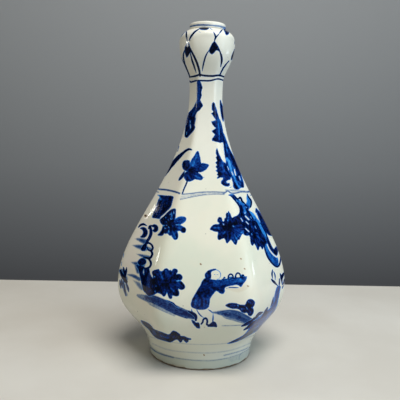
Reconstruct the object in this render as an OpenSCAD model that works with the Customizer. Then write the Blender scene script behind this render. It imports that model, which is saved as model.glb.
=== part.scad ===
// Garlic head vase: a six-sided pear body on a round foot, a slender neck and a bulb mouth.
// Separate clay sections are stacked and luted together with thin rings of slip.
// Millimetres, +Z up, the table is z = 0 and one broad face of the body looks along -Y.

/* [Foot] */
// Height of the foot ring
foot_h = 9; // [7:0.5:12]
// Outer radius of the foot ring on the table
foot_r = 44.3; // [42:0.1:47]
// How much wider the foot ring is at its top
foot_flare = 0.8; // [0:0.1:1.5]
// Width of the foot ring's clay
foot_w = 6.5; // [5:0.1:9]
// Bevel on the two lower edges of the foot ring
foot_bevel = 1; // [0.4:0.1:1.6]

/* [Body] */
// Height of the lower body, from the foot joint to the belly joint
lower_h = 51; // [46:0.5:56]
// Height of the upper body, from the belly joint to the shoulder joint
upper_h = 80; // [72:0.5:88]
// Radius to the ridges at the belly
belly_r = 73; // [68:0.5:78]
// Small step out from the foot to the body
base_step = 0.3; // [0:0.1:1]
// Thickness of the clay at the ridges
wall = 4.5; // [3.5:0.1:5.5]
// Thickness of the floor inside the lower body
floor_t = 6; // [4:0.5:9]
// Sharpness of the six ridges
ridge_power = 20; // [10:1:30]
// Height over which the round base becomes six-sided
facet_rise = 32; // [20:1:44]

/* [Neck] */
// Height of the neck, from the shoulder joint to the head joint
neck_h = 89; // [80:0.5:98]
// Radius to the ridges where the neck is narrowest
neck_r = 13.8; // [12.5:0.1:16]
// Radius to the ridges at the top of the neck
collar_r = 14.1; // [12.5:0.1:16.5]
// Depth of the narrowest point below the top of the neck
waist_drop = 8; // [4:0.5:16]

/* [Head] */
// Height of the garlic head, from the head joint to the rim joint
head_h = 41.5; // [38:0.5:46]
// Height of the widest point above the head joint
bulb_rise = 32; // [28:0.5:34]
// Radius of the garlic head at its widest
head_r = 23.1; // [20:0.1:26]
// How strongly the six facets show on the garlic head
head_facet = 0.35; // [0:0.05:0.8]
// Radius of the crown just under the rim
seat_r = 15.6; // [15.2:0.1:18]

/* [Mouth rim] */
// Height of the mouth rim
rim_h = 4.5; // [3.8:0.1:6]
// Outer radius of the mouth rim
rim_r = 15; // [14:0.1:15.5]
// Radius of the mouth opening
bore_r = 10.5; // [9.5:0.1:11.2]
// Rounding on the two upper edges of the mouth rim
rim_round = 1.7; // [0.8:0.1:1.8]

/* [Joints] */
// Thickness of each ring of slip
slip_t = 1; // [0.6:0.1:1.6]
// Depth of the wiped joint line below the outer face
slip_inset = 0.3; // [0:0.1:0.8]
// Bead of slip squeezed out inside the vase
slip_bead = 1.2; // [0:0.1:2]

/* [Hidden] */

// Points around each ring of a six-sided section, a multiple of twelve
sides = 36;
// Rings along each section's outer and inner face
steps = 10;
// Rings along the short curve of the crown
crown_steps = 5;

// Heights of the joints, from the table upwards
body_z = foot_h + slip_t;
belly_z = body_z + lower_h;
upper_z = belly_z + slip_t;
shoulder_z = upper_z + upper_h;
neck_z = shoulder_z + slip_t;
collar_z = neck_z + neck_h;
head_z = collar_z + slip_t;
crown_z = head_z + head_h;
rim_z = crown_z + slip_t;
total_h = rim_z + rim_h;

floor_z = body_z + floor_t;
waist_z = collar_z - waist_drop;
bulb_z = head_z + bulb_rise;
foot_top_r = foot_r + foot_flare;
base_r = foot_top_r + base_step;

// Reach of each curve's handles, as shares of the height that the curve spans
base_reach = 0.38;
base_lean = 0.16;
lower_reach = 0.58;
upper_reach = 0.28;
neck_reach = 0.41;
head_reach = 0.3;
bulb_reach = 0.56;
crown_reach = 0.55;
crown_rest = 0.12;
dome_reach = 0.4;

// Share of the bulb's height over which the neck's facets soften
head_soften = 0.6;

// Outlines as four-point curves of [radius, height]
lower_curve = [
    [base_r, body_z],
    [base_r + base_lean * (belly_r - base_r), body_z + base_reach * lower_h],
    [belly_r, belly_z - lower_reach * lower_h],
    [belly_r, belly_z]
];
upper_curve = [
    [belly_r, belly_z],
    [belly_r, belly_z + upper_reach * (waist_z - belly_z)],
    [neck_r, waist_z - neck_reach * (waist_z - belly_z)],
    [neck_r, waist_z]
];
head_curve = [
    [collar_r, head_z],
    [collar_r, head_z + head_reach * bulb_rise],
    [head_r, bulb_z - bulb_reach * bulb_rise],
    [head_r, bulb_z]
];
crown_curve = [
    [head_r, bulb_z],
    [head_r, bulb_z + crown_reach * (crown_z - bulb_z)],
    [(head_r + seat_r) / 2, crown_z - crown_rest * (crown_z - bulb_z)],
    [seat_r, crown_z]
];
dome_z = crown_z - wall;
dome_curve = [
    [head_r - wall, bulb_z - wall / 2],
    [head_r - wall, bulb_z + dome_reach * (dome_z - bulb_z)],
    [(head_r - wall + bore_r) / 2, dome_z],
    [bore_r, dome_z]
];

function total(list, i = 0) = i < len(list) ? list[i] + total(list, i + 1) : 0;
function ease(t) = let (u = max(0, min(1, t))) u * u * (3 - 2 * u);
function curve_at(c, t) =
    pow(1 - t, 3) * c[0] + 3 * t * pow(1 - t, 2) * c[1] + 3 * t * t * (1 - t) * c[2] + t * t * t * c[3];

// Radius of a rising curve at a given height, found by halving
function radius_at(c, z, low = 0, high = 1, tries = 24) =
    let (mid = (low + high) / 2, p = curve_at(c, mid))
    tries == 0 ? p[0] : p[1] < z ? radius_at(c, z, mid, high, tries - 1) : radius_at(c, z, low, mid, tries - 1);

// Outer radius at the ridges for any height below the widest point of the head
function skin(z) =
    z <= belly_z ? radius_at(lower_curve, z)
    : z <= waist_z ? radius_at(upper_curve, z)
    : z <= head_z ? neck_r + (collar_r - neck_r) * pow((z - waist_z) / (head_z - waist_z), 2)
    : radius_at(head_curve, z);

// How six-sided the section is: 0 is round and 1 has flat faces
function facet(z) =
    z < head_z ? ease((z - body_z) / facet_rise)
    : (1 - (1 - head_facet) * ease((z - head_z) / (head_soften * bulb_rise)))
        * (1 - ease((z - bulb_z) / (dome_z - bulb_z)));

// Six flat faces with soft ridges, one face towards -Y
function hexagon(a) =
    pow(total([for (k = [0:5]) pow(max(0, cos(a - 30 - 60 * k)), ridge_power)]), -1 / ridge_power);
function section(a, f) = 1 - f * (1 - hexagon(a) / hexagon(0));
function ring(r, z) = [
    for (i = [0:sides - 1])
        let (a = 360 * i / sides, q = r * section(a, facet(z)))
        [q * cos(a), q * sin(a), z]
];

function heights(low, high) = [for (i = [0:steps]) low + (high - low) * i / steps];
function backwards(list) = [for (i = [len(list) - 1:-1:0]) list[i]];
function outer_rings(low, high) = [for (z = heights(low, high)) ring(skin(z), z)];
function inner_rings(low, high) = [for (z = backwards(heights(low, high))) ring(skin(z) - wall, z)];
function curve_rings(c, first, count) = [
    for (i = [first:count])
        let (p = curve_at(c, i / count))
        ring(p[0], p[1])
];

// Triangles between two neighbouring rings of points
function band(j, k) = [
    for (i = [0:sides - 1], half = [0, 1])
        let (n = (i + 1) % sides)
        half == 0
        ? [j * sides + i, k * sides + i, k * sides + n]
        : [j * sides + i, k * sides + n, j * sides + n]
];
function joined(lists) = [for (list = lists, item = list) item];
function bands(rings) = joined([for (j = [0:len(rings) - 2]) band(j, j + 1)]);

// A hollow section: rings go up the outside, down the inside and close on themselves
module tube(rings) {
    polyhedron(points = joined(rings), faces = concat(bands(rings), band(len(rings) - 1, 0)));
}

// A section with a floor: the first and the last ring are capped
module cup(rings) {
    last = (len(rings) - 1) * sides;
    under = [for (i = [0:sides - 1]) i];
    inside = [for (i = [sides - 1:-1:0]) last + i];
    polyhedron(points = joined(rings), faces = concat(bands(rings), [under, inside]));
}

// A six-sided ring of slip between two sections, wiped outside and beaded inside
module slip_ring(z) {
    mid = z + slip_t / 2;
    tube([
        ring(skin(z) - slip_inset, z),
        ring(skin(z + slip_t) - slip_inset, z + slip_t),
        ring(skin(z + slip_t) - wall, z + slip_t),
        ring(skin(mid) - wall - slip_bead, mid),
        ring(skin(z) - wall, z)
    ]);
}

// A round ring of slip
module round_slip(inside, outside, z) {
    translate([0, 0, z])
        rotate_extrude($fn = 120)
            translate([inside, 0])
                square([outside - inside, slip_t]);
}

module foot_ring() {
    color("#cfc9b6")
        rotate_extrude($fn = 120)
            polygon([
                [foot_r - foot_w, foot_bevel],
                [foot_r - foot_w + foot_bevel, 0],
                [foot_r - foot_bevel, 0],
                [foot_r, foot_bevel],
                [foot_top_r, foot_h],
                [foot_r - foot_w, foot_h]
            ]);
}

module foot_slip() {
    color("#b9b4a6") round_slip(foot_r - foot_w, foot_top_r - slip_inset, foot_h);
}

module lower_body() {
    color("#e4e6df") cup(concat(outer_rings(body_z, belly_z), inner_rings(floor_z, belly_z)));
}

module belly_slip() {
    color("#b9b4a6") slip_ring(belly_z);
}

module upper_body() {
    color("#e8eae4") tube(concat(outer_rings(upper_z, shoulder_z), inner_rings(upper_z, shoulder_z)));
}

module shoulder_slip() {
    color("#b9b4a6") slip_ring(shoulder_z);
}

module neck() {
    color("#e6e8e2") tube(concat(outer_rings(neck_z, collar_z), inner_rings(neck_z, collar_z)));
}

module head_slip() {
    color("#b9b4a6") slip_ring(collar_z);
}

module garlic_head() {
    inner_low = inner_rings(head_z, bulb_z - wall / 2);
    dome = backwards(curve_rings(dome_curve, 1, crown_steps));
    color("#eceee8")
        tube(concat(
            outer_rings(head_z, bulb_z),
            curve_rings(crown_curve, 1, crown_steps),
            [ring(bore_r, crown_z)],
            dome,
            inner_low
        ));
}

module rim_slip() {
    color("#b9b4a6") round_slip(bore_r, rim_r - slip_inset, crown_z);
}

module mouth_rim() {
    color("#f0f2ee")
        translate([0, 0, rim_z])
            rotate_extrude($fn = 120) {
                translate([bore_r, 0])
                    square([rim_r - bore_r, rim_h - rim_round]);
                translate([bore_r + rim_round, 0])
                    square([rim_r - bore_r - 2 * rim_round, rim_h]);
                for (x = [bore_r + rim_round, rim_r - rim_round])
                    translate([x, rim_h - rim_round])
                        circle(rim_round);
            }
}

foot_ring();
foot_slip();
lower_body();
belly_slip();
upper_body();
shoulder_slip();
neck();
head_slip();
garlic_head();
rim_slip();
mouth_rim();
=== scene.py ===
import bpy
import math
import random
import numpy as np
from mathutils import Matrix, Vector


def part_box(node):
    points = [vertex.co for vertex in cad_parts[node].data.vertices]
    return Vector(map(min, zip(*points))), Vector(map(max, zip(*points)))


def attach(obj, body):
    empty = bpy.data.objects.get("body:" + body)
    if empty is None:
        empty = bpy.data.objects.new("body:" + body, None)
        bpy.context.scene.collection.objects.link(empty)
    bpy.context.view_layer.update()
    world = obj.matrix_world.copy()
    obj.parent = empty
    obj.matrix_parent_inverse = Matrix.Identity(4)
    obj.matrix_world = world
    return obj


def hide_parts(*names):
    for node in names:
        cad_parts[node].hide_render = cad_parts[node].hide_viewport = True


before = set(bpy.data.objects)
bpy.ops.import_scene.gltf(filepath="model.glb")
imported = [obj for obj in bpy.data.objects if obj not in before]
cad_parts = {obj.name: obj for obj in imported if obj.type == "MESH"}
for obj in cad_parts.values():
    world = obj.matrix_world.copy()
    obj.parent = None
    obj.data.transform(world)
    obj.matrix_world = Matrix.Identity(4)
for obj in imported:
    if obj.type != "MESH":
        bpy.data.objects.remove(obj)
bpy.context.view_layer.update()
mm = 0.001
print("frame loaded with", len(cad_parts), "nodes")


# the camera stands where the photo was taken, a little left of the front face
photoSize = 400
cameraSet = dict(
    focalPx=526.2,  # focal length in photo pixels
    distance=450.1 * mm,  # from the vase's axis
    height=186.8 * mm,
    pitchDown=6.76,  # degrees, as are the next three
    roll=1.34,
    yaw=-0.38,
    orbit=-1.7,
    sensor=36.0,
)


def cameraAxes():
    yaw, pitch, roll = (math.radians(cameraSet[k]) for k in ("yaw", "pitchDown", "roll"))
    level = Vector((math.cos(yaw), -math.sin(yaw), 0))
    ahead = Vector((math.sin(yaw) * math.cos(pitch), math.cos(yaw) * math.cos(pitch), -math.sin(pitch)))
    upright = level.cross(ahead)
    sideways = level * math.cos(roll) + upright * math.sin(roll)
    upward = upright * math.cos(roll) - level * math.sin(roll)
    turn = Matrix.Rotation(math.radians(cameraSet["orbit"]), 3, "Z")
    eye = Vector((0, -cameraSet["distance"], cameraSet["height"]))
    return turn @ eye, turn @ sideways, turn @ upward, turn @ ahead


eye, sideways, upward, ahead = cameraAxes()
bpy.ops.object.camera_add(location=eye)
camera = bpy.context.object
camera.matrix_world = Matrix((
    (sideways.x, upward.x, -ahead.x, eye.x),
    (sideways.y, upward.y, -ahead.y, eye.y),
    (sideways.z, upward.z, -ahead.z, eye.z),
    (0, 0, 0, 1),
))
camera.data.sensor_width = cameraSet["sensor"]
camera.data.lens = cameraSet["sensor"] * cameraSet["focalPx"] / photoSize
bpy.context.scene.camera = camera


def pixelsOf(points, turn=0.0):
    a = math.radians(-turn)  # the vase is turned in front of the camera
    x = points[:, 0] * math.cos(a) - points[:, 1] * math.sin(a)
    y = points[:, 0] * math.sin(a) + points[:, 1] * math.cos(a)
    away = np.stack([x, y, points[:, 2]], 1) - np.array(eye)
    depth = away @ np.array(ahead)
    across = photoSize / 2 + cameraSet["focalPx"] * (away @ np.array(sideways)) / depth
    down = photoSize / 2 - cameraSet["focalPx"] * (away @ np.array(upward)) / depth
    return across, down


print("camera placed")


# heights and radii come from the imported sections
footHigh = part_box("foot_ring")[1]
lowerLow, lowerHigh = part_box("lower_body")
upperLow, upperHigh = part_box("upper_body")
neckLow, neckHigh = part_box("neck")
headLow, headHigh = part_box("garlic_head")
rimLow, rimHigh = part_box("mouth_rim")

outline = dict(
    neckRadius=13.8 * mm,
    collarRadius=14.1 * mm,
    seatRadius=15.6 * mm,
    boreRadius=10.5 * mm,
    wall=4.5 * mm,
    floor=6 * mm,
    waistDrop=8 * mm,
    bulbRise=32 * mm,
    facetRise=32 * mm,
    baseStep=0.3 * mm,
    headFacet=0.35,
    headSoften=0.6,
    ridgePower=20,
    glazeLip=0.28 * mm,  # glaze that runs over each joint
    collarPoints=30,
    # how far the handles of its curves reach, as shares of the stretch they lie on
    baseLean=0.16,
    baseReach=0.38,
    bellyBelow=0.58,
    bellyAbove=0.28,
    neckReach=0.41,
    collarReach=0.3,
    bulbBelow=0.56,
    bulbAbove=0.55,
    crownDrop=0.12,
)
bodyZ = lowerLow.z
bellyZ = lowerHigh.z
headZ = headLow.z
crownZ = headHigh.z
bellyR = lowerHigh.x
headR = headHigh.x
baseR = footHigh.x + outline["baseStep"]
waistZ = neckHigh.z - outline["waistDrop"]
bulbZ = headZ + outline["bulbRise"]
domeZ = crownZ - outline["wall"]

# the glaze of two sections meets half-way over each joint
footSeam = (footHigh.z + bodyZ) / 2
bellySeam = (bellyZ + upperLow.z) / 2
shoulderSeam = (upperHigh.z + neckLow.z) / 2
headSeam = (neckHigh.z + headZ) / 2
rimSeam = (crownZ + rimLow.z) / 2


def curvePoints(corners, count=240):
    t = np.linspace(0, 1, count)[:, None]
    c = np.array(corners)
    return (1 - t) ** 3 * c[0] + 3 * t * (1 - t) ** 2 * c[1] + 3 * t * t * (1 - t) * c[2] + t**3 * c[3]


def risingOutline():
    o = outline
    lower = curvePoints([
        (baseR, bodyZ),
        (baseR + o["baseLean"] * (bellyR - baseR), bodyZ + o["baseReach"] * (bellyZ - bodyZ)),
        (bellyR, bellyZ - o["bellyBelow"] * (bellyZ - bodyZ)),
        (bellyR, bellyZ),
    ])
    upper = curvePoints([
        (bellyR, bellyZ),
        (bellyR, bellyZ + o["bellyAbove"] * (waistZ - bellyZ)),
        (o["neckRadius"], waistZ - o["neckReach"] * (waistZ - bellyZ)),
        (o["neckRadius"], waistZ),
    ])
    z = np.linspace(waistZ, headZ, o["collarPoints"])
    rise = ((z - waistZ) / (headZ - waistZ)) ** 2
    collar = np.stack([o["neckRadius"] + (o["collarRadius"] - o["neckRadius"]) * rise, z], 1)
    head = curvePoints([
        (o["collarRadius"], headZ),
        (o["collarRadius"], headZ + o["collarReach"] * o["bulbRise"]),
        (headR, bulbZ - o["bulbBelow"] * o["bulbRise"]),
        (headR, bulbZ),
    ])
    crown = curvePoints([
        (headR, bulbZ),
        (headR, bulbZ + o["bulbAbove"] * (crownZ - bulbZ)),
        ((headR + o["seatRadius"]) / 2, crownZ - o["crownDrop"] * (crownZ - bulbZ)),
        (o["seatRadius"], crownZ),
    ])
    return np.concatenate([lower, upper[1:], collar[1:], head[1:], crown[1:]])


outlinePoints = risingOutline()


def skin(z):
    return np.interp(z, outlinePoints[:, 1], outlinePoints[:, 0])


def ease(t):
    t = np.clip(t, 0, 1)
    return t * t * (3 - 2 * t)


def facet(z):
    # how six-sided the vase is at a height
    body = ease((z - bodyZ) / outline["facetRise"])
    soften = ease((z - headZ) / (outline["headSoften"] * outline["bulbRise"]))
    head = (1 - (1 - outline["headFacet"]) * soften) * (1 - ease((z - bulbZ) / (domeZ - bulbZ)))
    return np.where(z < headZ, body, head)


sides = 6


def hexagon(angle):
    faces = np.radians(360 / sides * (np.arange(sides) + 0.5))
    facing = np.maximum(0, np.cos(np.asarray(angle)[..., None] - faces)) ** outline["ridgePower"]
    return facing.sum(-1) ** (-1 / outline["ridgePower"])


# each section is a profile extruded point by point; one sixth is spun, copied round and pressed six-sided
meshing = dict(
    outlineSteps=900,  # fine steps from which a wall's rows are picked
    startSize=10 * mm,  # plane that is merged to a profile's first point
    profileWeld=1e-6,  # metres, as are the next two
    spinWeld=2e-6,
    poleRadius=1e-5,
    batch=20000,  # vertices that are looked up at a time
    mapMargin=0.012,
    smoothAngle=50,  # degrees
)


def evenly(points, rows):
    points = np.array(points)
    along = np.concatenate([[0], np.cumsum(np.hypot(*np.diff(points, axis=0).T))])
    picks = np.linspace(0, along[-1], rows + 1)
    return [(np.interp(p, along, points[:, 0]), np.interp(p, along, points[:, 1])) for p in picks]


def outerWall(low, high, rows):
    z = np.linspace(low, high, meshing["outlineSteps"])
    return evenly(np.stack([skin(z), z], 1), rows)


def innerWall(high, low, rows):
    return [(float(skin(z)) - outline["wall"], z) for z in np.linspace(high, low, rows + 1)]


def drawProfile(name, profile):
    bpy.ops.object.select_all(action="DESELECT")
    bpy.ops.mesh.primitive_plane_add(size=meshing["startSize"])
    piece = bpy.context.object
    piece.name = name
    piece.data.name = name
    bpy.ops.object.mode_set(mode="EDIT")
    bpy.ops.mesh.select_all(action="SELECT")
    bpy.ops.mesh.merge(type="CENTER")
    bpy.ops.transform.translate(value=(profile[0][0], 0, profile[0][1]))
    for (r0, z0), (r1, z1) in zip(profile, profile[1:]):
        bpy.ops.mesh.extrude_vertices_move(TRANSFORM_OT_translate={"value": (r1 - r0, 0, z1 - z0)})
    bpy.ops.mesh.select_all(action="SELECT")
    bpy.ops.mesh.remove_doubles(threshold=meshing["profileWeld"])
    return piece


def spinSixths(columns):
    around = dict(center=(0, 0, 0), axis=(0, 0, 1), use_auto_merge=False)
    bpy.ops.mesh.select_all(action="SELECT")
    bpy.ops.mesh.spin(steps=columns // sides, angle=math.radians(360 / sides), **around)
    bpy.ops.mesh.select_all(action="SELECT")
    bpy.ops.mesh.spin(steps=sides - 1, dupli=True, angle=math.radians(360 - 360 / sides), **around)
    bpy.ops.mesh.select_all(action="SELECT")
    bpy.ops.mesh.remove_doubles(threshold=meshing["spinWeld"])
    bpy.ops.mesh.normals_make_consistent(inside=False)
    bpy.ops.object.mode_set(mode="OBJECT")


def meshPlaces(mesh):
    places = np.empty(len(mesh.vertices) * 3)
    mesh.vertices.foreach_get("co", places)
    return places.reshape(-1, 3)


def profileRows(places, profile):
    # which profile point each vertex came from
    radius, height = np.hypot(places[:, 0], places[:, 1]), places[:, 2]
    rows = np.empty(len(places), int)
    p = np.array(profile)
    for start in range(0, len(places), meshing["batch"]):
        part = slice(start, start + meshing["batch"])
        gap = (radius[part, None] - p[:, 0]) ** 2 + (height[part, None] - p[:, 1]) ** 2
        rows[part] = gap.argmin(1)
    return rows


def pressFacets(piece, places):
    angle = np.arctan2(places[:, 1], places[:, 0])
    pressed = 1 - facet(places[:, 2]) * (1 - hexagon(angle) / hexagon(0.0))
    places = places * np.stack([pressed, pressed, np.ones(len(places))], 1)
    piece.data.vertices.foreach_set("co", places.ravel())
    piece.data.update()


def bakeMap(piece, rows, rowCount, strips):
    # the skin unrolled, cut into strips that lie one above the other
    mesh = piece.data
    places = meshPlaces(mesh)
    corner = np.empty(len(mesh.loops), int)
    starts = np.empty(len(mesh.polygons), int)
    sizes = np.empty(len(mesh.polygons), int)
    mesh.loops.foreach_get("vertex_index", corner)
    mesh.polygons.foreach_get("loop_start", starts)
    mesh.polygons.foreach_get("loop_total", sizes)
    owner = np.repeat(np.arange(len(starts)), sizes)
    around = (np.arctan2(places[:, 0], -places[:, 1]) / (2 * math.pi)) % 1
    u = around[corner]
    wraps = (np.maximum.reduceat(u, starts) - np.minimum.reduceat(u, starts))[owner] > 0.5
    u = np.where(wraps & (u < 0.5), u + 1, u)
    pole = np.hypot(places[corner, 0], places[corner, 1]) < meshing["poleRadius"]
    middle = np.add.reduceat(np.where(pole, 0, u), starts) / np.maximum(np.add.reduceat(~pole, starts), 1)
    u = np.where(pole, middle[owner], u) - np.floor(middle)[owner]
    strip = np.floor((middle - np.floor(middle)) * strips).clip(0, strips - 1)[owner]
    margin = meshing["mapMargin"]
    across = margin + (u * strips - strip) * (1 - 2 * margin)
    up = (strip + margin + rows[corner] / rowCount * (1 - 2 * margin)) / strips
    while mesh.uv_layers:
        mesh.uv_layers.remove(mesh.uv_layers[0])
    layer = mesh.uv_layers.new(name="OFBake")
    layer.data.foreach_set("uv", np.stack([across, up], 1).astype(np.float32).ravel())


paintedPieces = []  # each piece with a mask of its painted vertices


def claySection(name, node, before, outside, after, settings, closed=True):
    profile = before + outside + after
    piece = drawProfile(name, profile + profile[:1] if closed else profile)
    spinSixths(settings["columns"])
    places = meshPlaces(piece.data)
    rows = profileRows(places, profile)
    pressFacets(piece, places)
    bakeMap(piece, rows, len(profile), settings["strips"])
    bpy.ops.object.shade_smooth_by_angle(angle=math.radians(meshing["smoothAngle"]))
    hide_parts(node)
    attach(piece, "root")
    paintedPieces.append((piece, (rows >= len(before)) & (rows < len(before) + len(outside))))
    print("built", name, "with", len(piece.data.polygons), "faces")


footRing = dict(
    flare=0.8 * mm,
    width=6.5 * mm,
    bevel=1 * mm,
    columns=480,
    strips=2,
    baseRows=6,
    bevelPoints=7,
    sideRows=22,
)


def buildFootRing():
    s = footRing
    lip, soft = outline["glazeLip"], s["bevel"]
    top, low = footHigh.x, footHigh.x - s["flare"]
    inner = low - s["width"]
    turn = np.radians(np.linspace(90, 0, s["bevelPoints"]))
    worn = [(low - soft + soft * math.cos(a), soft - soft * math.sin(a)) for a in turn]
    side = evenly([(low, soft), (top, footHigh.z), (top, footSeam)], s["sideRows"])
    outside = evenly([(inner + soft, 0), (low - soft, 0)], s["baseRows"])[:-1] + worn[:-1] + side
    after = [(top - lip, footSeam), (top - lip, footHigh.z), (inner, footHigh.z)]
    after += [(inner, footHigh.z / 2), (inner, soft)]
    claySection("footRing", "foot_ring", [], outside, after, s)


lowerBody = dict(columns=780, rows=108, innerRows=9, strips=3, floorRings=(0.3, 0.6))


def buildLowerBody():
    s, lip = lowerBody, outline["glazeLip"]
    inside = bodyZ + outline["floor"]
    rings = [baseR * share for share in s["floorRings"]]
    before = [(0, bodyZ)] + [(r, bodyZ) for r in rings] + [(baseR - lip, bodyZ), (baseR - lip, footSeam)]
    after = [(bellyR - lip, bellySeam), (bellyR - lip, bellyZ)] + innerWall(bellyZ, inside, s["innerRows"])
    after += [(r, inside) for r in rings[::-1]] + [(0, inside)]
    outside = outerWall(footSeam, bellySeam, s["rows"])
    claySection("lowerBody", "lower_body", before, outside, after, s, closed=False)


def tubeSection(name, node, low, high, bottom, top, settings):
    # open at both ends, with its glaze running over each joint
    lip = outline["glazeLip"]
    outside = outerWall(low, high, settings["rows"])
    edgeTop = [(float(skin(high)) - lip, high), (float(skin(top)) - lip, top)]
    edgeLow = [(float(skin(bottom)) - lip, bottom), (float(skin(low)) - lip, low)]
    after = edgeTop + innerWall(top, bottom, settings["innerRows"]) + edgeLow
    claySection(name, node, [], outside, after, settings)


upperBody = dict(columns=660, rows=130, innerRows=10, strips=2)


def buildUpperBody():
    tubeSection("upperBody", "upper_body", bellySeam, shoulderSeam, upperLow.z, upperHigh.z, upperBody)


slimNeck = dict(columns=384, rows=236, innerRows=12, strips=2)


def buildNeck():
    tubeSection("slimNeck", "neck", shoulderSeam, headSeam, neckLow.z, neckHigh.z, slimNeck)


garlicHead = dict(columns=420, rows=170, innerRows=10, strips=1, domePoints=8, domeReach=0.4)


def buildGarlicHead():
    s, lip, bore = garlicHead, outline["glazeLip"], outline["boreRadius"]
    inward = headR - outline["wall"]
    shelf = bulbZ - outline["wall"] / 2
    dome = curvePoints([
        (inward, shelf),
        (inward, bulbZ + s["domeReach"] * (domeZ - bulbZ)),
        ((inward + bore) / 2, domeZ),
        (bore, domeZ),
    ], s["domePoints"])
    after = [(rimHigh.x, crownZ), (bore, crownZ)] + [tuple(p) for p in dome[::-1]]
    after += innerWall(shelf, headZ, s["innerRows"])[1:]
    after += [(float(skin(headZ)) - lip, headZ), (float(skin(headSeam)) - lip, headSeam)]
    outside = outerWall(headSeam, crownZ, s["rows"])
    claySection("garlicHead", "garlic_head", [], outside, after, s)


mouthRim = dict(round=1.7 * mm, columns=300, strips=1, roundPoints=12, sideRows=8)


def buildMouthRim():
    s, lip, bore = mouthRim, outline["glazeLip"], outline["boreRadius"]
    wide, top, soft = rimHigh.x, rimHigh.z, s["round"]
    turn = np.radians(np.linspace(0, 90, s["roundPoints"]))
    outside = evenly([(wide, rimSeam), (wide, top - soft)], s["sideRows"])[:-1]
    outside += [(wide - soft + soft * math.cos(a), top - soft + soft * math.sin(a)) for a in turn]
    outside += [(bore + soft - soft * math.cos(a), top - soft + soft * math.sin(a)) for a in turn[::-1]]
    after = [(bore, rimLow.z), (wide - lip, rimLow.z), (wide - lip, rimSeam)]
    claySection("mouthRim", "mouth_rim", [], outside, after, s)


buildFootRing()
buildLowerBody()
buildUpperBody()
buildNeck()
buildGarlicHead()
buildMouthRim()


# the painting: each vertex of the glazed skin keeps its distance from the edge of the nearest brush mark
def skinArrays():
    places, normals, owners = [], [], []
    for index, (piece, outer) in enumerate(paintedPieces):
        facing = np.empty(len(piece.data.vertices) * 3)
        piece.data.vertex_normals.foreach_get("vector", facing)
        places.append(meshPlaces(piece.data)[outer])
        normals.append(facing.reshape(-1, 3)[outer])
        owners.append(np.full(outer.sum(), index))
    return np.concatenate(places), np.concatenate(normals), np.concatenate(owners)


skinPlaces, skinNormals, skinOwners = skinArrays()
reach = 4.0  # how far round a mark its edge is felt, in photo pixels
bare = -reach
farOff, tiny = 1e9, 1e-9
paint = dict(
    washEdge=np.full(len(skinPlaces), bare),
    washTone=np.zeros(len(skinPlaces)),
    lineEdge=np.full(len(skinPlaces), bare),
    lineTone=np.zeros(len(skinPlaces)),
    mistTone=np.zeros(len(skinPlaces)),
    rustTone=np.zeros(len(skinPlaces)),
)
brushwork = dict(
    halo=0.8,  # how far a mark's tone reaches past its edge, in photo pixels
    bleed=0.6,  # share of a soft edge that lies outside its mark
    swell=4,  # a stroke is full after one part in this many of its length
    deepSoft=1.6,  # in photo pixels, as are the next two
    paleSoft=1.2,
    rustSoft=1.2,
    wipeEnds=(0.7, 0.7),
    veinStops=(0.42, 0.68, 0.92),  # where a vein passes, from the leaf's heart to its tip
    grazing=0.02,  # skin seen at a flatter angle than this takes no paint
    pixel=0.78 * mm,  # size of a photo pixel on the front of the vase
    waver=0.3 * mm,  # how much a ring line wanders
    waverTurns=5,
)
sight = dict()
dice = random.Random(7)


def lookFrom(turn):
    # the marks that follow are laid with this side of the vase turned to the painter
    across, down = pixelsOf(skinPlaces, turn)
    spot = np.array(Matrix.Rotation(math.radians(turn), 3, "Z") @ eye)
    toEye = spot - skinPlaces
    toEye /= np.linalg.norm(toEye, axis=1)[:, None]
    sight.update(across=across, down=down, shown=(toEye * skinNormals).sum(1) > brushwork["grazing"])


def nearby(points, margin):
    low, high = points.min(0) - margin, points.max(0) + margin
    x, y = sight["across"], sight["down"]
    found = np.flatnonzero(sight["shown"] & (x > low[0]) & (x < high[0]) & (y > low[1]) & (y < high[1]))
    return found, x[found], y[found]


def flowing(points, closed=False, between=5):
    # a smooth line through a few points, which may carry a width as well
    p = np.asarray(points, float)
    if len(p) < 3:
        return p
    before = np.roll(p, 1, 0) if closed else np.vstack([2 * p[0] - p[1], p[:-1]])
    after = np.roll(p, -1, 0) if closed else np.vstack([p[1:], 2 * p[-1] - p[-2]])
    later = np.roll(after, -1, 0)
    if not closed:
        later[-2:] = after[-1]
    line = []
    for a, b, c, d in list(zip(before, p, after, later))[:len(p) if closed else -1]:
        for t in np.arange(between) / between:
            bend = (2 * a - 5 * b + 4 * c - d) * t * t + (3 * b - a - 3 * c + d) * t**3
            line.append(0.5 * (2 * b + (c - a) * t + bend))
    return np.array(line if closed else line + [p[-1]])


def besideEdge(x, y, a, b):
    # how far along the edge from a to b each place lies, and how far from it
    dx, dy = b - a
    t = np.clip(((x - a[0]) * dx + (y - a[1]) * dy) / max(dx * dx + dy * dy, tiny), 0, 1)
    return t, np.hypot(x - a[0] - t * dx, y - a[1] - t * dy)


def insideStroke(x, y, line, half):
    best = np.full(len(x), bare)
    for a, b, wa, wb in zip(line[:-1], line[1:], half[:-1], half[1:]):
        t, gap = besideEdge(x, y, a, b)
        best = np.maximum(best, wa + (wb - wa) * t - gap)
    return best


def insideShape(x, y, line):
    nearest = np.full(len(x), farOff)
    inside = np.zeros(len(x), bool)
    for a, b in zip(line, np.roll(line, -1, 0)):
        nearest = np.minimum(nearest, besideEdge(x, y, a, b)[1])
        dx, dy = b - a
        crosses = (a[1] > y) != (b[1] > y)
        inside ^= crosses & (x < a[0] + (y - a[1]) / (dy if dy else tiny) * dx)
    return np.where(inside, nearest, -nearest)


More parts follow.
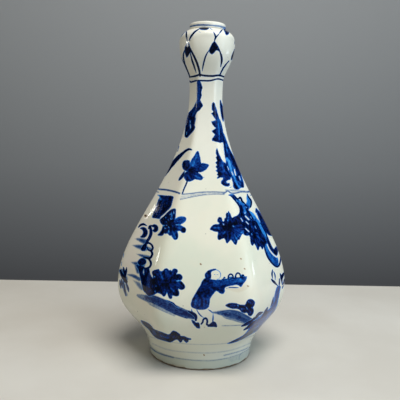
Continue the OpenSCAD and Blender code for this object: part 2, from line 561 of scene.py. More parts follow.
def lay(layer, found, depth, tone):
    edge, ink = paint[layer + "Edge"], paint[layer + "Tone"]
    edge[found] = np.maximum(edge[found], depth)
    ink[found] = np.where(depth > -brushwork["halo"], np.maximum(ink[found], tone), ink[found])


def strokeLine(points, width=1.6, ends=(0.4, 0.3)):
    # a stroke swells from its start and thins towards its end, unless its points carry their own widths
    p = np.asarray(points, float)
    if p.shape[1] == 2:
        t = np.linspace(0, 1, len(p))
        rise, fall = (s * brushwork["swell"] for s in (t, 1 - t))
        swell = np.minimum(ends[0] + rise * (1 - ends[0]), ends[1] + fall * (1 - ends[1]))
        p = np.column_stack([p, width * np.minimum(1, swell)])
    line = flowing(p)
    return line[:, :2], line[:, 2] / 2


def brush(tone, *stroke):
    points = stroke[-1]
    line, half = strokeLine(points, *stroke[:-1])
    found, x, y = nearby(line, reach + 2 * half.max())
    lay("line", found, insideStroke(x, y, line, half), tone)


def fill(tone, points, smooth=True):
    line = flowing(points, closed=True) if smooth else np.asarray(points, float)
    found, x, y = nearby(line, reach)
    lay("wash", found, insideShape(x, y, line), tone)


def fillSharp(tone, points):
    fill(tone, points, smooth=False)


def softStreak(width, points, soft):
    line, half = strokeLine(points, width, ends=(1, 1))
    found, x, y = nearby(line, 2 * half.max() + soft)
    return found, ease((insideStroke(x, y, line, half) + soft * brushwork["bleed"]) / soft)


def deepen(tone, width, points):
    # a second load of ink that runs into a wet wash
    found, veil = softStreak(width, points, brushwork["deepSoft"])
    ink = paint["washTone"]
    deeper = ink[found] + np.maximum(tone - ink[found], 0) * veil
    ink[found] = np.where(paint["washEdge"][found] > -brushwork["halo"], deeper, ink[found])


def makePaler(amount, width, points):
    # a place painted paler: a pale run of the wash, in two marks partly a painted reflection of glare
    found, veil = softStreak(width, points, brushwork["paleSoft"])
    paint["washTone"][found] *= 1 - amount * veil


def leafVeins(amount, width, heart, tips):
    # pale veins from a leaf's heart towards its tips
    for tip in tips:
        run = np.subtract(tip, heart)
        makePaler(amount, width, [np.add(heart, run * stop) for stop in brushwork["veinStops"]])


def mist(tone, width, soft, points, layer="mistTone"):
    # a soft wash that fades at its edges
    found, veil = softStreak(width, points, soft)
    paint[layer][found] = np.maximum(paint[layer][found], tone * veil)


dryBrush = dict(
    ragged=6,  # a hair may start or stop early by one part in this many of the pull
    step=4,
    hairWidth=(0.9, 1.4),
    hairTone=(0.78, 1.06),
    soft=1.5,
)


def sweep(tone, hairs, points):
    # one pull of a wide, half-dry brush: its hairs leave streaks side by side; points carry the brush's width
    line = flowing(points)
    along = np.gradient(line[:, :2], axis=0)
    side = np.column_stack([-along[:, 1], along[:, 0]]) / np.hypot(*along.T)[:, None]
    ragged = len(line) // dryBrush["ragged"]
    for hair in range(hairs):
        start = dice.randint(0, ragged)
        stop = len(line) - dice.randint(0, ragged)
        shift = ((hair + 0.5) / hairs - 0.5) * line[:, 2]
        wide = line[:, 2] / hairs * dice.uniform(*dryBrush["hairWidth"])
        trail = np.column_stack([line[:, :2] + side * shift[:, None], wide])[start:stop:dryBrush["step"]]
        mist(tone * dice.uniform(*dryBrush["hairTone"]), 1, dryBrush["soft"], trail)


def wipe(width, points):
    # bare glaze left between or inside marks
    line, half = strokeLine(points, width, brushwork["wipeEnds"])
    found, x, y = nearby(line, reach)
    gap = insideStroke(x, y, line, half)
    for layer in ("wash", "line"):
        paint[layer + "Edge"][found] = np.minimum(paint[layer + "Edge"][found], -gap)


# what the entries of a motif are painted with, in this order, and what they hold
painterTools = dict(
    shapes=fill,  # tone, points
    sharp=fillSharp,  # the same, with straight edges
    pale=makePaler,  # amount, width, points
    deep=deepen,  # tone, width, points
    veins=leafVeins,  # amount, width, heart, tips
    sweeps=sweep,  # tone, count of hairs, points with widths
    mist=mist,  # tone, width, softness, points
    strokes=brush,  # tone, width, how wide the ends are, points; or tone, points with widths
    bare=wipe,  # width, points
)


def paintMotif(motif):
    for kind, tool in painterTools.items():
        for mark in motif.get(kind, ()):
            tool(*mark)


# places in these motifs are photo pixels
lipLine = dict(
    mist=[
        (0.6, 1, 1.3, [
            (190, 26.6, 1), (195.6, 25.3, 1.5), (202, 24.9, 1.4), (209.6, 25.2, 1.2), (215, 25.7, 0.8),
        ]),
        (0.88, 0.7, 1.2, [(193.4, 26), (197, 25.3), (202, 25), (207, 25.2)]),
        (0.46, 1, 1.5, [(211, 25.3, 1), (219.2, 26.3, 1.9), (225, 27.9, 2)]),
    ],
)
petalCap = dict(
    shapes=[(1, [
        (199.4, 28.4), (202, 27.1), (206, 27), (209, 27.9), (207.1, 29.6), (203.5, 29.9), (200.7, 29.6),
    ])],
    strokes=[
        (1, 1.7, [(199.6, 28.6), (194.3, 32.3), (190.5, 37.4), (189.2, 40.6)]),
        (0.5, 0.9, [(198.8, 31.7), (200.7, 32.4)]),
        (0.8, 1.1, [(210, 28), (212.2, 29.8)]),
        (0.95, 1.3, [(213.6, 32), (214.6, 34), (215.3, 36.5), (215, 38.5)]),
    ],
)
garlicPetal = dict(
    shapes=[(1, [
        (214.4, 41.4), (218, 46), (219.7, 51.3), (216.4, 50.4), (212.3, 54.2), (209.1, 51.4), (211, 45.8),
    ])],
    strokes=[
        (0.95, 1.4, [(209.2, 50), (205.8, 55.9), (203.3, 64.8), (202.3, 71)]),
        (1, 2.0, [(219, 49), (221.3, 55.9), (221.7, 61), (220.6, 67)]),
        (1, 1.6, [(218.6, 34.3), (215.4, 38.1), (214.4, 41.8)]),
    ],
)
sidePetals = dict(
    shapes=[
        (0.95, [(223.4, 28.6), (226.5, 29.4), (229, 31.5), (228.6, 34), (226.2, 35), (224.6, 31.6)]),
        (1, [
            (188.2, 42.6), (190, 46.6), (191.2, 51), (189.2, 54), (186.8, 57.4), (184.9, 52.3), (185, 47.4),
        ]),
    ],
    strokes=[
        (0.95, 1.3, [(223, 28.8), (221, 31.2), (219.2, 33.6)]),
        (1, 1.6, [(186.4, 30.2), (186.4, 35.5), (187.2, 41)]),
        (0.95, 1.5, [(185.4, 31.2), (182.4, 33.9), (180.6, 37)]),
        (0.95, 1.4, [(185, 49), (183.3, 55.9), (184.9, 64.2), (188.7, 73.8), (190, 76.8)]),
        (0.97, 1.7, [(190.2, 52.5), (192, 60), (194, 66), (196.2, 72.6)]),
        (1, 2.1, (0.7, 0.8), [(189.6, 47.5), (195.6, 59.7), (198.8, 68.7), (200.1, 76)]),
        (1, 2.4, [(234.6, 49.5), (232.8, 55.9), (231.2, 60)]),
        (0.95, 1.5, (0.5, 0.8), [(229, 60.8), (223.7, 67.4), (219.8, 75)]),
    ],
)
headLines = dict(
    strokes=[
        (0.97, 1.9, (0.8, 0.8), [
            (189.6, 77), (195.6, 76), (199.4, 74.8), (204.5, 75.6), (212.2, 76), (219.2, 75.4), (224.6, 77),
        ]),
        (0.92, 1.6, (0.9, 0.8), [
            (189.4, 81), (191.3, 82), (196.9, 80.6), (209.6, 80.7), (217.9, 78.9), (224.6, 80.8),
        ]),
    ],
)
neckBranch = dict(
    shapes=[(0.88, [
        (197.2, 80.5), (200, 81), (201.3, 84), (202.4, 87.3), (201.6, 90.5), (201.2, 93), (201.7, 95.5),
        (200.9, 98), (200.2, 100), (201.3, 102.3), (202.8, 105.5), (201.3, 108), (199.3, 110.3),
        (197.2, 112), (196, 114.3), (195.3, 116.5), (195.8, 119), (195.2, 121.5), (194.6, 125),
        (195.2, 127.5), (193.8, 130.3), (191.8, 132.8), (189.5, 135.3), (187.3, 137.6), (185.5, 137.3),
        (184.6, 135.5), (185, 131), (185.6, 126), (186.5, 120.5), (187.3, 116.5), (188.8, 112.5),
        (191, 110.3), (193.3, 107.5), (195, 104.3), (196.5, 101), (197, 97), (196.9, 92), (196.9, 86),
    ])],
    pale=[
        (0.2, 1.6, [(199, 82), (199, 92), (198, 104), (192.5, 116)]),
        (0.14, 2.0, [(190, 121), (190.4, 130)]),
    ],
    deep=[
        (1, 1.4, [(201.5, 88), (201, 98), (201.6, 106), (196.5, 113)]),
        (1, 1.5, [(186.5, 124), (185.6, 135)]),
    ],
    bare=[
        (0.9, [(190.3, 124.6), (190.5, 128)]),
        (0.5, [(190.2, 121), (190.4, 123)]),
        (0.5, [(186.8, 132), (186.5, 134.5)]),
    ],
)
sawLeaf = dict(
    sharp=[(0.84, [
        (212.2, 103), (213.5, 102.2), (214.6, 103), (215.5, 106), (216.6, 109.5), (217.9, 114), (219, 118),
        (219.6, 120.5), (220.3, 124), (221, 127.5), (222.2, 131), (222.8, 134.5), (223.3, 138),
        (224.5, 142), (220, 142.8), (217, 142), (212.3, 140.8), (211.9, 139), (213.8, 136.5),
        (214.9, 134.5), (213.2, 132.7), (211.8, 131), (213.5, 130), (216, 128), (214.3, 126.8),
        (212.5, 124.3), (211.3, 121.5), (213, 121.2), (215.8, 120), (214.5, 118), (212.8, 115.3),
        (211.2, 113.5), (212.8, 112.5), (213.4, 111.3), (211.8, 109.8), (211.8, 106),
    ])],
    pale=[(0.34, 1.4, [(217.8, 117), (218.6, 127), (219.6, 139)])],
    deep=[
        (0.93, 2.2, [(213.4, 103.5), (213.6, 109), (214.4, 115)]),
        (0.96, 2.0, [(213, 123), (214.4, 125.5)]),
        (0.96, 2.0, [(212.6, 131.5), (214.2, 133)]),
        (0.96, 2.2, [(213.2, 139), (216, 140.5)]),
        (0.86, 1.2, [(217, 112.5), (219.3, 120), (221.2, 129), (223, 138)]),
    ],
    shapes=[(0.94, [
        (220.2, 99.8), (221.6, 103), (222.9, 107), (223.5, 112), (223.8, 117), (223.3, 121.6), (221.7, 118),
        (220.5, 111), (220, 105),
    ])],
    strokes=[(0.7, 1.5, [(219.8, 119.5), (221.4, 126), (222.7, 133), (224.5, 141)])],
)
neckTrunk = dict(
    shapes=[(0.72, [
        (221.4, 136), (223.4, 144), (224, 150), (225, 157), (225.8, 160), (226, 165), (227.5, 169),
        (229.5, 173), (231.5, 178), (233, 183), (233.2, 187), (235.5, 189.3), (238.5, 189.5), (241, 187.8),
        (243.8, 187.3), (243.7, 183), (242, 177), (240, 171), (238, 166), (235.3, 160), (232, 153),
        (229, 147), (226.4, 140), (223.4, 133),
    ])],
    pale=[
        # paler wash here, partly a painted reflection of glare on the glaze
        (0.5, 2.2, [(227, 158.8), (229, 161.4), (230, 165.6), (231, 168.6)]),
        (0.45, 1.5, [(231.4, 170.5), (233, 174.5), (234.8, 178.2)]),
        (0.36, 1.6, [(235.2, 180), (237.4, 184.4), (239.6, 187)]),
        (0.22, 1.6, [(225.6, 144), (227.4, 151)]),
        (0.2, 1.4, [(231.4, 164), (233.6, 168)]),
        (0.24, 1.4, [(238, 181), (240.4, 184.4)]),
    ],
    deep=[
        (0.92, 1.4, [(226, 163), (227.2, 168.6), (229.6, 173.4), (231.8, 179), (233.4, 184)]),
        (0.94, 3.0, [(231.4, 155), (235, 162), (238.4, 170), (239.4, 174)]),
        (0.9, 1.6, [(224.2, 143), (225.2, 150), (226.4, 156)]),
        (0.9, 1.4, [(228, 148), (231.4, 154)]),
        (0.9, 1.2, [(236.6, 176), (238.6, 180)]),
        (0.95, 2.2, [(242.6, 183), (243.2, 187)]),
        (0.94, 2.0, [(234.4, 184), (236.4, 188)]),
    ],
    bare=[
        (1.1, [(227.4, 166.4), (228.8, 169.8)]),
        (1.3, [(234.4, 169.4), (235, 172.4), (235.8, 175.4)]),
        (1.2, [(239.2, 176.4), (240.4, 179.8)]),
        (0.8, [(231.8, 172), (233, 175)]),
    ],
)
curlLeaf = dict(
    sharp=[(0.77, [
        (217, 148), (218.5, 152.5), (220, 156), (221.5, 159), (223, 161.5), (225.4, 163), (227.4, 168),
        (229.6, 172.5), (231.2, 176), (230.4, 179.5), (227.9, 181.5), (226.8, 183), (229.5, 183),
        (230, 185.3), (228.3, 186.6), (225.5, 186.3), (222.5, 185), (221, 183), (221.3, 181), (223, 179),
        (222.8, 177.5), (220.5, 177.5), (217.5, 178.7), (216.8, 178), (218.5, 176), (217, 174.6),
        (218, 172.8), (215.8, 170.6), (217.5, 169), (215.6, 166.8), (217.3, 165), (215.4, 162.6),
        (217.3, 160.6), (215.8, 157.6), (217, 156), (215.8, 153), (216.4, 149),
    ])],
    pale=[
        (0.2, 1.8, [(221.8, 163), (223.2, 168), (224.2, 171.4)]),
        (0.16, 1.4, [(226.4, 172), (227.6, 175.6)]),
    ],
    deep=[
        (0.96, 2.4, [(217, 149), (217.8, 158), (218.2, 168), (219.6, 176)]),
        (0.9, 1.6, [(224.4, 164), (227, 170), (229.6, 175)]),
        (0.95, 2.0, [(222, 183), (224.5, 185), (228.5, 185)]),
        (0.9, 1.4, [(227, 175), (227.5, 179), (225.5, 181)]),
    ],
    strokes=[(0.9, 1.2, [(230, 187.6), (231.6, 186.8)])],
    bare=[(1.5, [(226.8, 181.8), (229, 180.6), (231.2, 181.8), (232, 184)])],
)
leftArc = dict(
    strokes=[
        (0.93, [
            (191.7, 149.8, 1.2), (189, 149.2, 2.2), (186, 150.6, 2.4), (182.6, 153.4, 2.8), (178.8, 157, 4),
            (175.6, 160.4, 4), (172.8, 164, 3.8), (170.6, 167.2, 2.6), (168.4, 170.6, 2.4),
            (166, 173.8, 1.8), (163.8, 177, 1.2),
        ]),
        (0.85, 1.4, [(179, 146), (177.6, 151.5)]),
    ],
)
neckFlower = dict(
    shapes=[
        (0.7, [
            (190.3, 167), (190.3, 163), (191.5, 159.5), (194, 156), (196, 152.5), (197.6, 151),
            (199, 152.5), (199.8, 156), (200.6, 160.5), (201, 163.5), (200, 168), (197, 170.5), (193, 171),
            (190.5, 169.5),
        ]),
        (0.76, [
            (200.8, 164), (203, 163), (205.5, 163.5), (208.8, 164.8), (207.8, 167.5), (205.5, 170),
            (202, 171.8), (199, 172), (198.5, 169),
        ]),
        (0.9, [
            (189.3, 160.5), (186, 160.2), (183.3, 161.3), (182.2, 164), (182.3, 167), (183.5, 169.5),
            (186, 171), (189, 170.5), (190.2, 167), (190, 163),
        ]),
        (0.76, [
            (191, 171), (195, 172), (199.5, 173.5), (202, 176), (203, 178), (201.5, 180), (198, 179.8),
            (195, 179), (192.5, 176.5),
        ]),
        (0.8, [
            (184.3, 175), (186, 171.8), (190, 171), (193.5, 174.5), (195, 178.5), (193, 180.3),
            (190, 181.5), (187, 181.3), (185, 179.5), (184, 177.5),
        ]),
        (0.97, [
            (184.5, 171), (184.3, 175), (182.5, 178), (180, 180.3), (178.5, 180.3), (179.5, 177.5),
            (181.5, 174.5),
        ]),
        (0.86, [
            (187.5, 167.5), (191, 167), (196, 169), (199.5, 170), (197, 173.5), (192, 174), (187.5, 173),
        ]),
    ],
    pale=[
        (0.24, 1.7, [(196.8, 155.4), (194.6, 161), (192.6, 166.4)]),
        (0.2, 1.4, [(203, 166.5), (206, 165.6)]),
        (0.22, 1.2, [(194.4, 175.4), (197, 177), (200, 178)]),
        (0.22, 1.2, [(188, 174.6), (189, 177), (190.6, 179)]),
    ],
    deep=[
        (0.92, 1.2, [(200.4, 157), (200.6, 164), (198.8, 169)]),
        (0.95, 1.4, [(190, 170.6), (195, 171.6), (199, 172)]),
        (0.92, 1.0, [(192, 172), (193.4, 176), (194.6, 179)]),
    ],
    strokes=[
        (0.8, 0.9, [(203, 177.8), (204.6, 177)]),
        (0.92, [(187.3, 181, 1.6), (186.2, 184, 1.5), (184, 189, 1.4), (182.4, 193.3, 1.1)]),
    ],
)
shoulderLines = dict(
    mist=[
        (0.84, 1.3, 1.2, [(160, 189.3), (166, 189.8), (172, 191), (176, 192), (179.5, 193.3)]),
        (0.56, 0.8, 1.2, [(182, 194.2), (190, 193.6), (200, 192.3), (212, 191.9), (224, 192.3)]),
        (0.52, 0.7, 1.2, [
            (180.3, 199.3), (186, 198.2), (195, 196.3), (205, 194.8), (216, 194), (224, 194.2),
        ]),
        (0.66, 1.0, 1.3, [
            (223, 194), (226, 192), (228, 190.8), (231, 193), (236, 193), (241, 191.8), (247, 192),
        ]),
        (0.2, 3.0, 2.0, [(182, 197), (190, 195.8), (200, 194.2), (212, 193), (224, 193.2)]),
        (0.3, 2.0, 2.0, [(226, 190), (238, 190.8), (250, 192)]),
    ],
)
leafBlock = dict(
    shapes=[(0.88, [
        (157.5, 195), (160, 195), (165, 195.5), (171, 195.8), (173.5, 197), (172.7, 200), (171.8, 204),
        (170.5, 207.5), (167.5, 210.5), (164.5, 213.5), (161, 216.5), (159.5, 218.8), (156, 218.3),
        (152.3, 217.5), (153.5, 213), (156.3, 206), (158.2, 200), (159.5, 197),
    ])],
    pale=[(0.4, 2.4, [(158.5, 196), (160.5, 199)]), (0.12, 2.0, [(163, 200), (160, 210)])],
    deep=[(0.97, 2.4, [(170, 199), (168, 206), (162, 213)])],
)
tripleLeaf = dict(
    shapes=[
        (0.95, [
            (160, 219.5), (164, 216), (167.5, 212.5), (171, 209.5), (175.5, 208.8), (175.8, 213),
            (175.3, 218), (174, 222), (170, 224), (165, 226), (161.5, 224), (160, 221.5),
        ]),
        (0.7, [
            (176, 218.5), (178, 217), (182, 216.3), (185.5, 217.3), (186.3, 219.5), (185, 221.8),
            (182, 223.8), (178.5, 225), (175.5, 224), (175, 221),
        ]),
        (0.78, [
            (175.5, 225.5), (180, 225), (183, 226.5), (185.5, 228), (186, 230.5), (184.5, 232.8),
            (181.5, 232.5), (180.5, 231), (176.5, 231), (174.5, 228.5),
        ]),
        (0.75, [
            (171.5, 229.5), (175, 230), (177.5, 232), (178.3, 236), (177, 239.3), (174.5, 239.8),
            (172.5, 237.8), (171, 234),
        ]),
        (0.8, [
            (164, 229), (168, 228), (171.5, 230), (171.5, 235), (169.5, 235.5), (167.5, 233.5),
            (165.5, 233.8), (164, 232.5),
        ]),
        (0.95, [
            (163, 226), (166, 229), (164.5, 233), (162.5, 235.5), (159.5, 235.8), (157.5, 235),
            (159.5, 232.8), (161.5, 230),
        ]),
        (0.97, [(164, 224), (172, 221), (177, 223), (176, 229), (171, 230.5), (166, 229.5)]),
    ],
    pale=[(0.35, 1.0, [(171.5, 213), (172.4, 219)])],
    veins=[(0.25, 1.2, (170, 225), [(172, 211), (184.5, 219), (184.5, 230), (176, 238.5), (168, 234)])],
    deep=[
        (0.88, 1.8, [(179, 221), (183, 219.5)]),
        (1, 3.6, [(183, 230), (184.4, 230)]),
        (0.93, 1.4, [(177, 233), (177.3, 238)]),
        (1, 3.0, [(169, 222), (171, 227)]),
    ],
    bare=[
        (0.8, [(165.4, 217.8), (166.2, 217)]),
        (0.8, [(173.8, 211.6), (174, 213.8)]),
        (0.8, [(169.6, 214.8), (170.4, 214)]),
        (0.8, [(166, 221.8), (166.6, 222.4)]),
        (0.8, [(170.6, 218.6), (171, 219.4)]),
        (0.8, [(164.8, 228.2), (165.8, 228.8)]),
        (0.7, [(168.4, 226.8), (169, 227.6)]),
        (0.7, [(172.4, 225.6), (172.8, 226.4)]),
        (0.7, [(168.6, 230.6), (169, 232.2)]),
        (1.3, [(168.8, 210.4), (164.6, 214.2), (160.3, 218)]),
        (0.9, [(163.6, 225.2), (166.8, 225.2)]),
        (0.7, [(168, 219.6), (168.6, 220.2)]),
        (0.7, [(175.4, 224.9), (179, 225)]),
    ],
)
gardenRock = dict(
    shapes=[
        (0.93, [
            (140, 228.4), (142.4, 227), (145.4, 227.8), (147.4, 230.6), (147.5, 234), (145.8, 236.8),
            (142.8, 237.8), (140, 237), (141.8, 235.4), (143, 233), (142.8, 230.6), (141.4, 229.2),
        ]),
        (0.94, [
            (151.6, 226), (153.4, 224.5), (156, 224.7), (158, 226.8), (158.2, 229.6), (156.6, 231.8),
            (154.4, 232.2), (152.8, 231), (153.2, 229.6), (154, 228.6), (153.8, 227.4), (152.4, 227),
        ]),
        (0.97, [
            (141.5, 247), (143.4, 244.4), (145.6, 243.4), (146.8, 245.4), (146.4, 248.6), (145, 250.8),
            (142.6, 251), (140.6, 249.6),
        ]),
        (0.9, [
            (139, 259.6), (142, 258), (145, 258.8), (146.4, 261.4), (145.4, 264), (142, 265.4),
            (138.8, 264.6), (137.4, 262.4),
        ]),
        (0.92, [(136, 265), (139.5, 265.3), (143, 266), (145, 268), (144, 270), (140, 270), (137.3, 268)]),
        (0.88, [
            (137.5, 267), (141, 266.5), (145, 267.3), (148.5, 268.2), (149.7, 270.5), (150.2, 274),
            (152, 277), (153.5, 279.3), (156, 281), (158, 286), (158, 292), (150, 296.5), (146, 293.5),
            (143, 290), (141.5, 284), (140.5, 279), (139.3, 274), (138.3, 270),
        ]),
    ],
    pale=[(0.2, 2.4, [(148, 278), (149, 286)])],
    deep=[
        (0.98, 2.4, [(140, 270), (142.5, 280), (145, 289)]),
        (0.97, 2.6, [(152, 280), (155, 287), (153, 293)]),
    ],
    mist=[
        (0.84, 1, 3.4, [(131.4, 245, -2), (138, 246.6, 2.4), (145, 247.8, 5)]),
        (0.84, 1, 3.4, [(134.4, 238.6, -2), (139, 239.6, 1.6), (144.6, 241.6, 4)]),
        (0.84, 1, 3.0, [(135.4, 253.6, -2), (141, 255.4, 1.2), (148, 257.6, 3)]),
        (0.84, 1, 3.4, [(130.4, 262, -2), (136, 263.6, 2.4), (142, 264.6, 5)]),
        (0.66, 2.6, 2.6, [(136.4, 266), (138, 272)]),
        (0.66, 1, 2.6, [(126.6, 274.4, -0.6), (133, 275.8, 2.4), (139.4, 279.2, 2.8)]),
        (0.5, 1, 3.2, [(133, 280, -1), (138, 284, 3), (141.6, 288, 3.4)]),
        (0.5, 2.2, 2.0, [(148, 248), (151, 249)]),
        (0.66, 3.6, 3.0, [(121, 271), (123.5, 275), (125.6, 279)]),
        (0.5, 2.0, 2.4, [(122.5, 283), (124.5, 290), (126.5, 295)]),
        (0.5, 1.6, 2.2, [(126, 284), (128, 290)]),
    ],
    strokes=[
        (0.9, 2.2, [(138.4, 227.4), (140.6, 225), (143.6, 224.3), (146.8, 225.8)]),
        (0.94, 2.2, [(148.3, 228.8), (149.8, 226.3), (152.3, 225.4)]),
        (0.84, [
            (150, 227, 2.6), (151, 231, 3.2), (150.6, 235, 3.2), (149, 238.5, 3), (147.2, 241, 3),
            (146, 243.8, 2.8),
        ]),
        (0.88, 2.0, (0.9, 0.8), [
            (146.8, 243.2), (149.4, 243.2), (152, 245.4), (152.8, 248.4), (150.8, 250.6), (148.2, 249.6),
            (147.2, 247.4),
        ]),
        (0.94, 2.4, (0.8, 0.7), [
            (150.8, 250.6), (152.2, 253), (151.6, 256), (149.4, 258.2), (146.4, 257.8), (143.4, 257),
        ]),
        (0.93, 2.1, (0.8, 0.7), [(148.2, 258.8), (150.2, 261), (151, 264.2), (149.4, 267.2), (146.8, 268)]),
        (0.98, [(120.4, 270.4, 1.8), (122, 274.6, 3.2), (124, 278, 4), (126.2, 281.8, 3)]),
        (0.95, 2.2, [(123.4, 267.2), (124, 271), (124.8, 276)]),
        (0.95, 2.2, [(126.6, 267.6), (126, 272), (125.4, 277)]),
        (0.93, 1.9, [(121.2, 279), (122, 283), (122.4, 288)]),
        (0.93, 2.0, [(123.6, 281), (124.6, 289), (125.8, 296)]),
        (0.9, 1.9, [(126, 282), (128, 288), (128.8, 292)]),
        (0.9, 1.7, [(119.8, 280), (120.4, 284.5), (121, 288.5)]),
        (0.7, 1.0, [(123.8, 253.5), (123.4, 257.5)]),
        (0.7, 1.0, [(121.6, 262), (121.2, 266)]),
    ],
    bare=[(0.9, [(143.8, 269), (143.5, 272), (143.9, 274.6)])],
)
broadLeaf = dict(
    shapes=[(0.9, [
        (153, 276.5), (152.3, 274.5), (152.2, 271.8), (154, 270.2), (156, 269.6), (158.8, 269),
        (159.8, 271), (161, 271.2), (162.5, 271), (164, 269.5), (166, 268.3), (168, 269), (169, 270.3),
        (170.5, 270), (172, 271), (172.5, 269.5), (174.5, 268.5), (177, 269.3), (177.8, 271.5),
        (176.8, 273.3), (176.3, 274.3), (178, 274), (180, 273.9), (182, 275.8), (182.6, 278), (181, 280),
        (176.5, 280.3), (177, 281.5), (180.5, 281), (183, 283), (185, 286), (184.5, 288.5), (182, 289.8),
        (179.5, 289.3), (178.5, 287.8), (178.5, 290.5), (179.3, 293), (178.5, 295.5), (176.5, 296.3),
        (174, 295.8), (172, 295.5), (172.3, 297.5), (171, 298.8), (169.3, 298.3), (168, 296),
        (167.3, 292.5), (165.5, 295.5), (163.5, 296.5), (161.5, 294.5), (160, 293.8), (156, 292),
        (153, 288), (152, 282),
    ])],
    pale=[
        (0.2, 3.0, [(166, 271), (169, 277)]),
        (0.2, 1.6, [(178, 283), (182, 286)]),
        (0.18, 1.6, [(160, 272), (163, 279)]),
        (0.16, 1.4, [(171, 288), (175, 294)]),
    ],
    veins=[(0.16, 1.2, (166, 284), [
        (154, 271.5), (158.5, 270.5), (166, 269.5), (175, 270), (181, 277), (184, 286.5), (178, 294.5),
        (171, 297.5), (164, 295),
    ])],
    deep=[
        (1, 2.6, [(153.6, 271.6), (154.4, 275)]),
        (1, 2.8, [(178.5, 276), (181, 278)]),
        (1, 2.6, [(175, 293.5), (178, 294.5)]),
        (0.98, 5.0, [(155, 281), (156.5, 287), (160, 291)]),
        (0.96, 4.0, [(164, 283), (169, 285), (173, 283)]),
        (0.95, 1.6, [(182.6, 284), (184, 287)]),
    ],
    bare=[
        (0.8, [(176, 280.6), (183, 280.9)]),
        (0.8, [(167, 291.5), (166.2, 297)]),
        (0.8, [(159, 294), (159.7, 294.8)]),
        (0.7, [(154.8, 291), (155.3, 292)]),
        (0.7, [(155.6, 285.6), (156, 286.4)]),
        (0.7, [(154.2, 276.4), (155, 277.2)]),
    ],
)
groundWash = dict(
    sweeps=[
        (1, 9, [
            (144, 296.4, 5), (152, 299, 7), (160, 302.2, 8), (168, 306, 8.5), (176, 310, 8.5),
            (184, 313.4, 8), (190, 315.2, 7.5), (195, 317, 5),
        ]),
        (0.6, 4, [(137, 295.4, 2), (144, 297.5, 5), (152, 300.6, 6)]),
        (0.45, 5, [(148, 302.5, 2.5), (158, 307, 3.5), (168, 311.6, 3.5), (180, 317, 2.5)]),
    ],
    mist=[
        (0.9, 1, 3.0, [
            (146, 297.2, 3.6), (155, 300.4, 5.6), (165, 304.8, 6.6), (175, 309.6, 6.6), (185, 313.8, 6),
            (193, 316.4, 5),
        ]),
        (1, 1.4, 1.8, [(152, 295.6), (160, 298.6), (168, 302), (175, 305.8), (182, 310), (189, 312.8)]),
        (1, 4, 2.4, [(184, 313), (189, 314.6), (193.6, 317)]),
    ],
    strokes=[
        (0.82, 1.4, [(166, 300), (170, 301.7), (173.5, 303.5), (175.5, 305.8), (179, 308)]),
        (0.88, 3.2, (0.6, 0.7), [(188.5, 311.4), (193, 313.6), (195.8, 316.4), (195.8, 320)]),
    ],
)
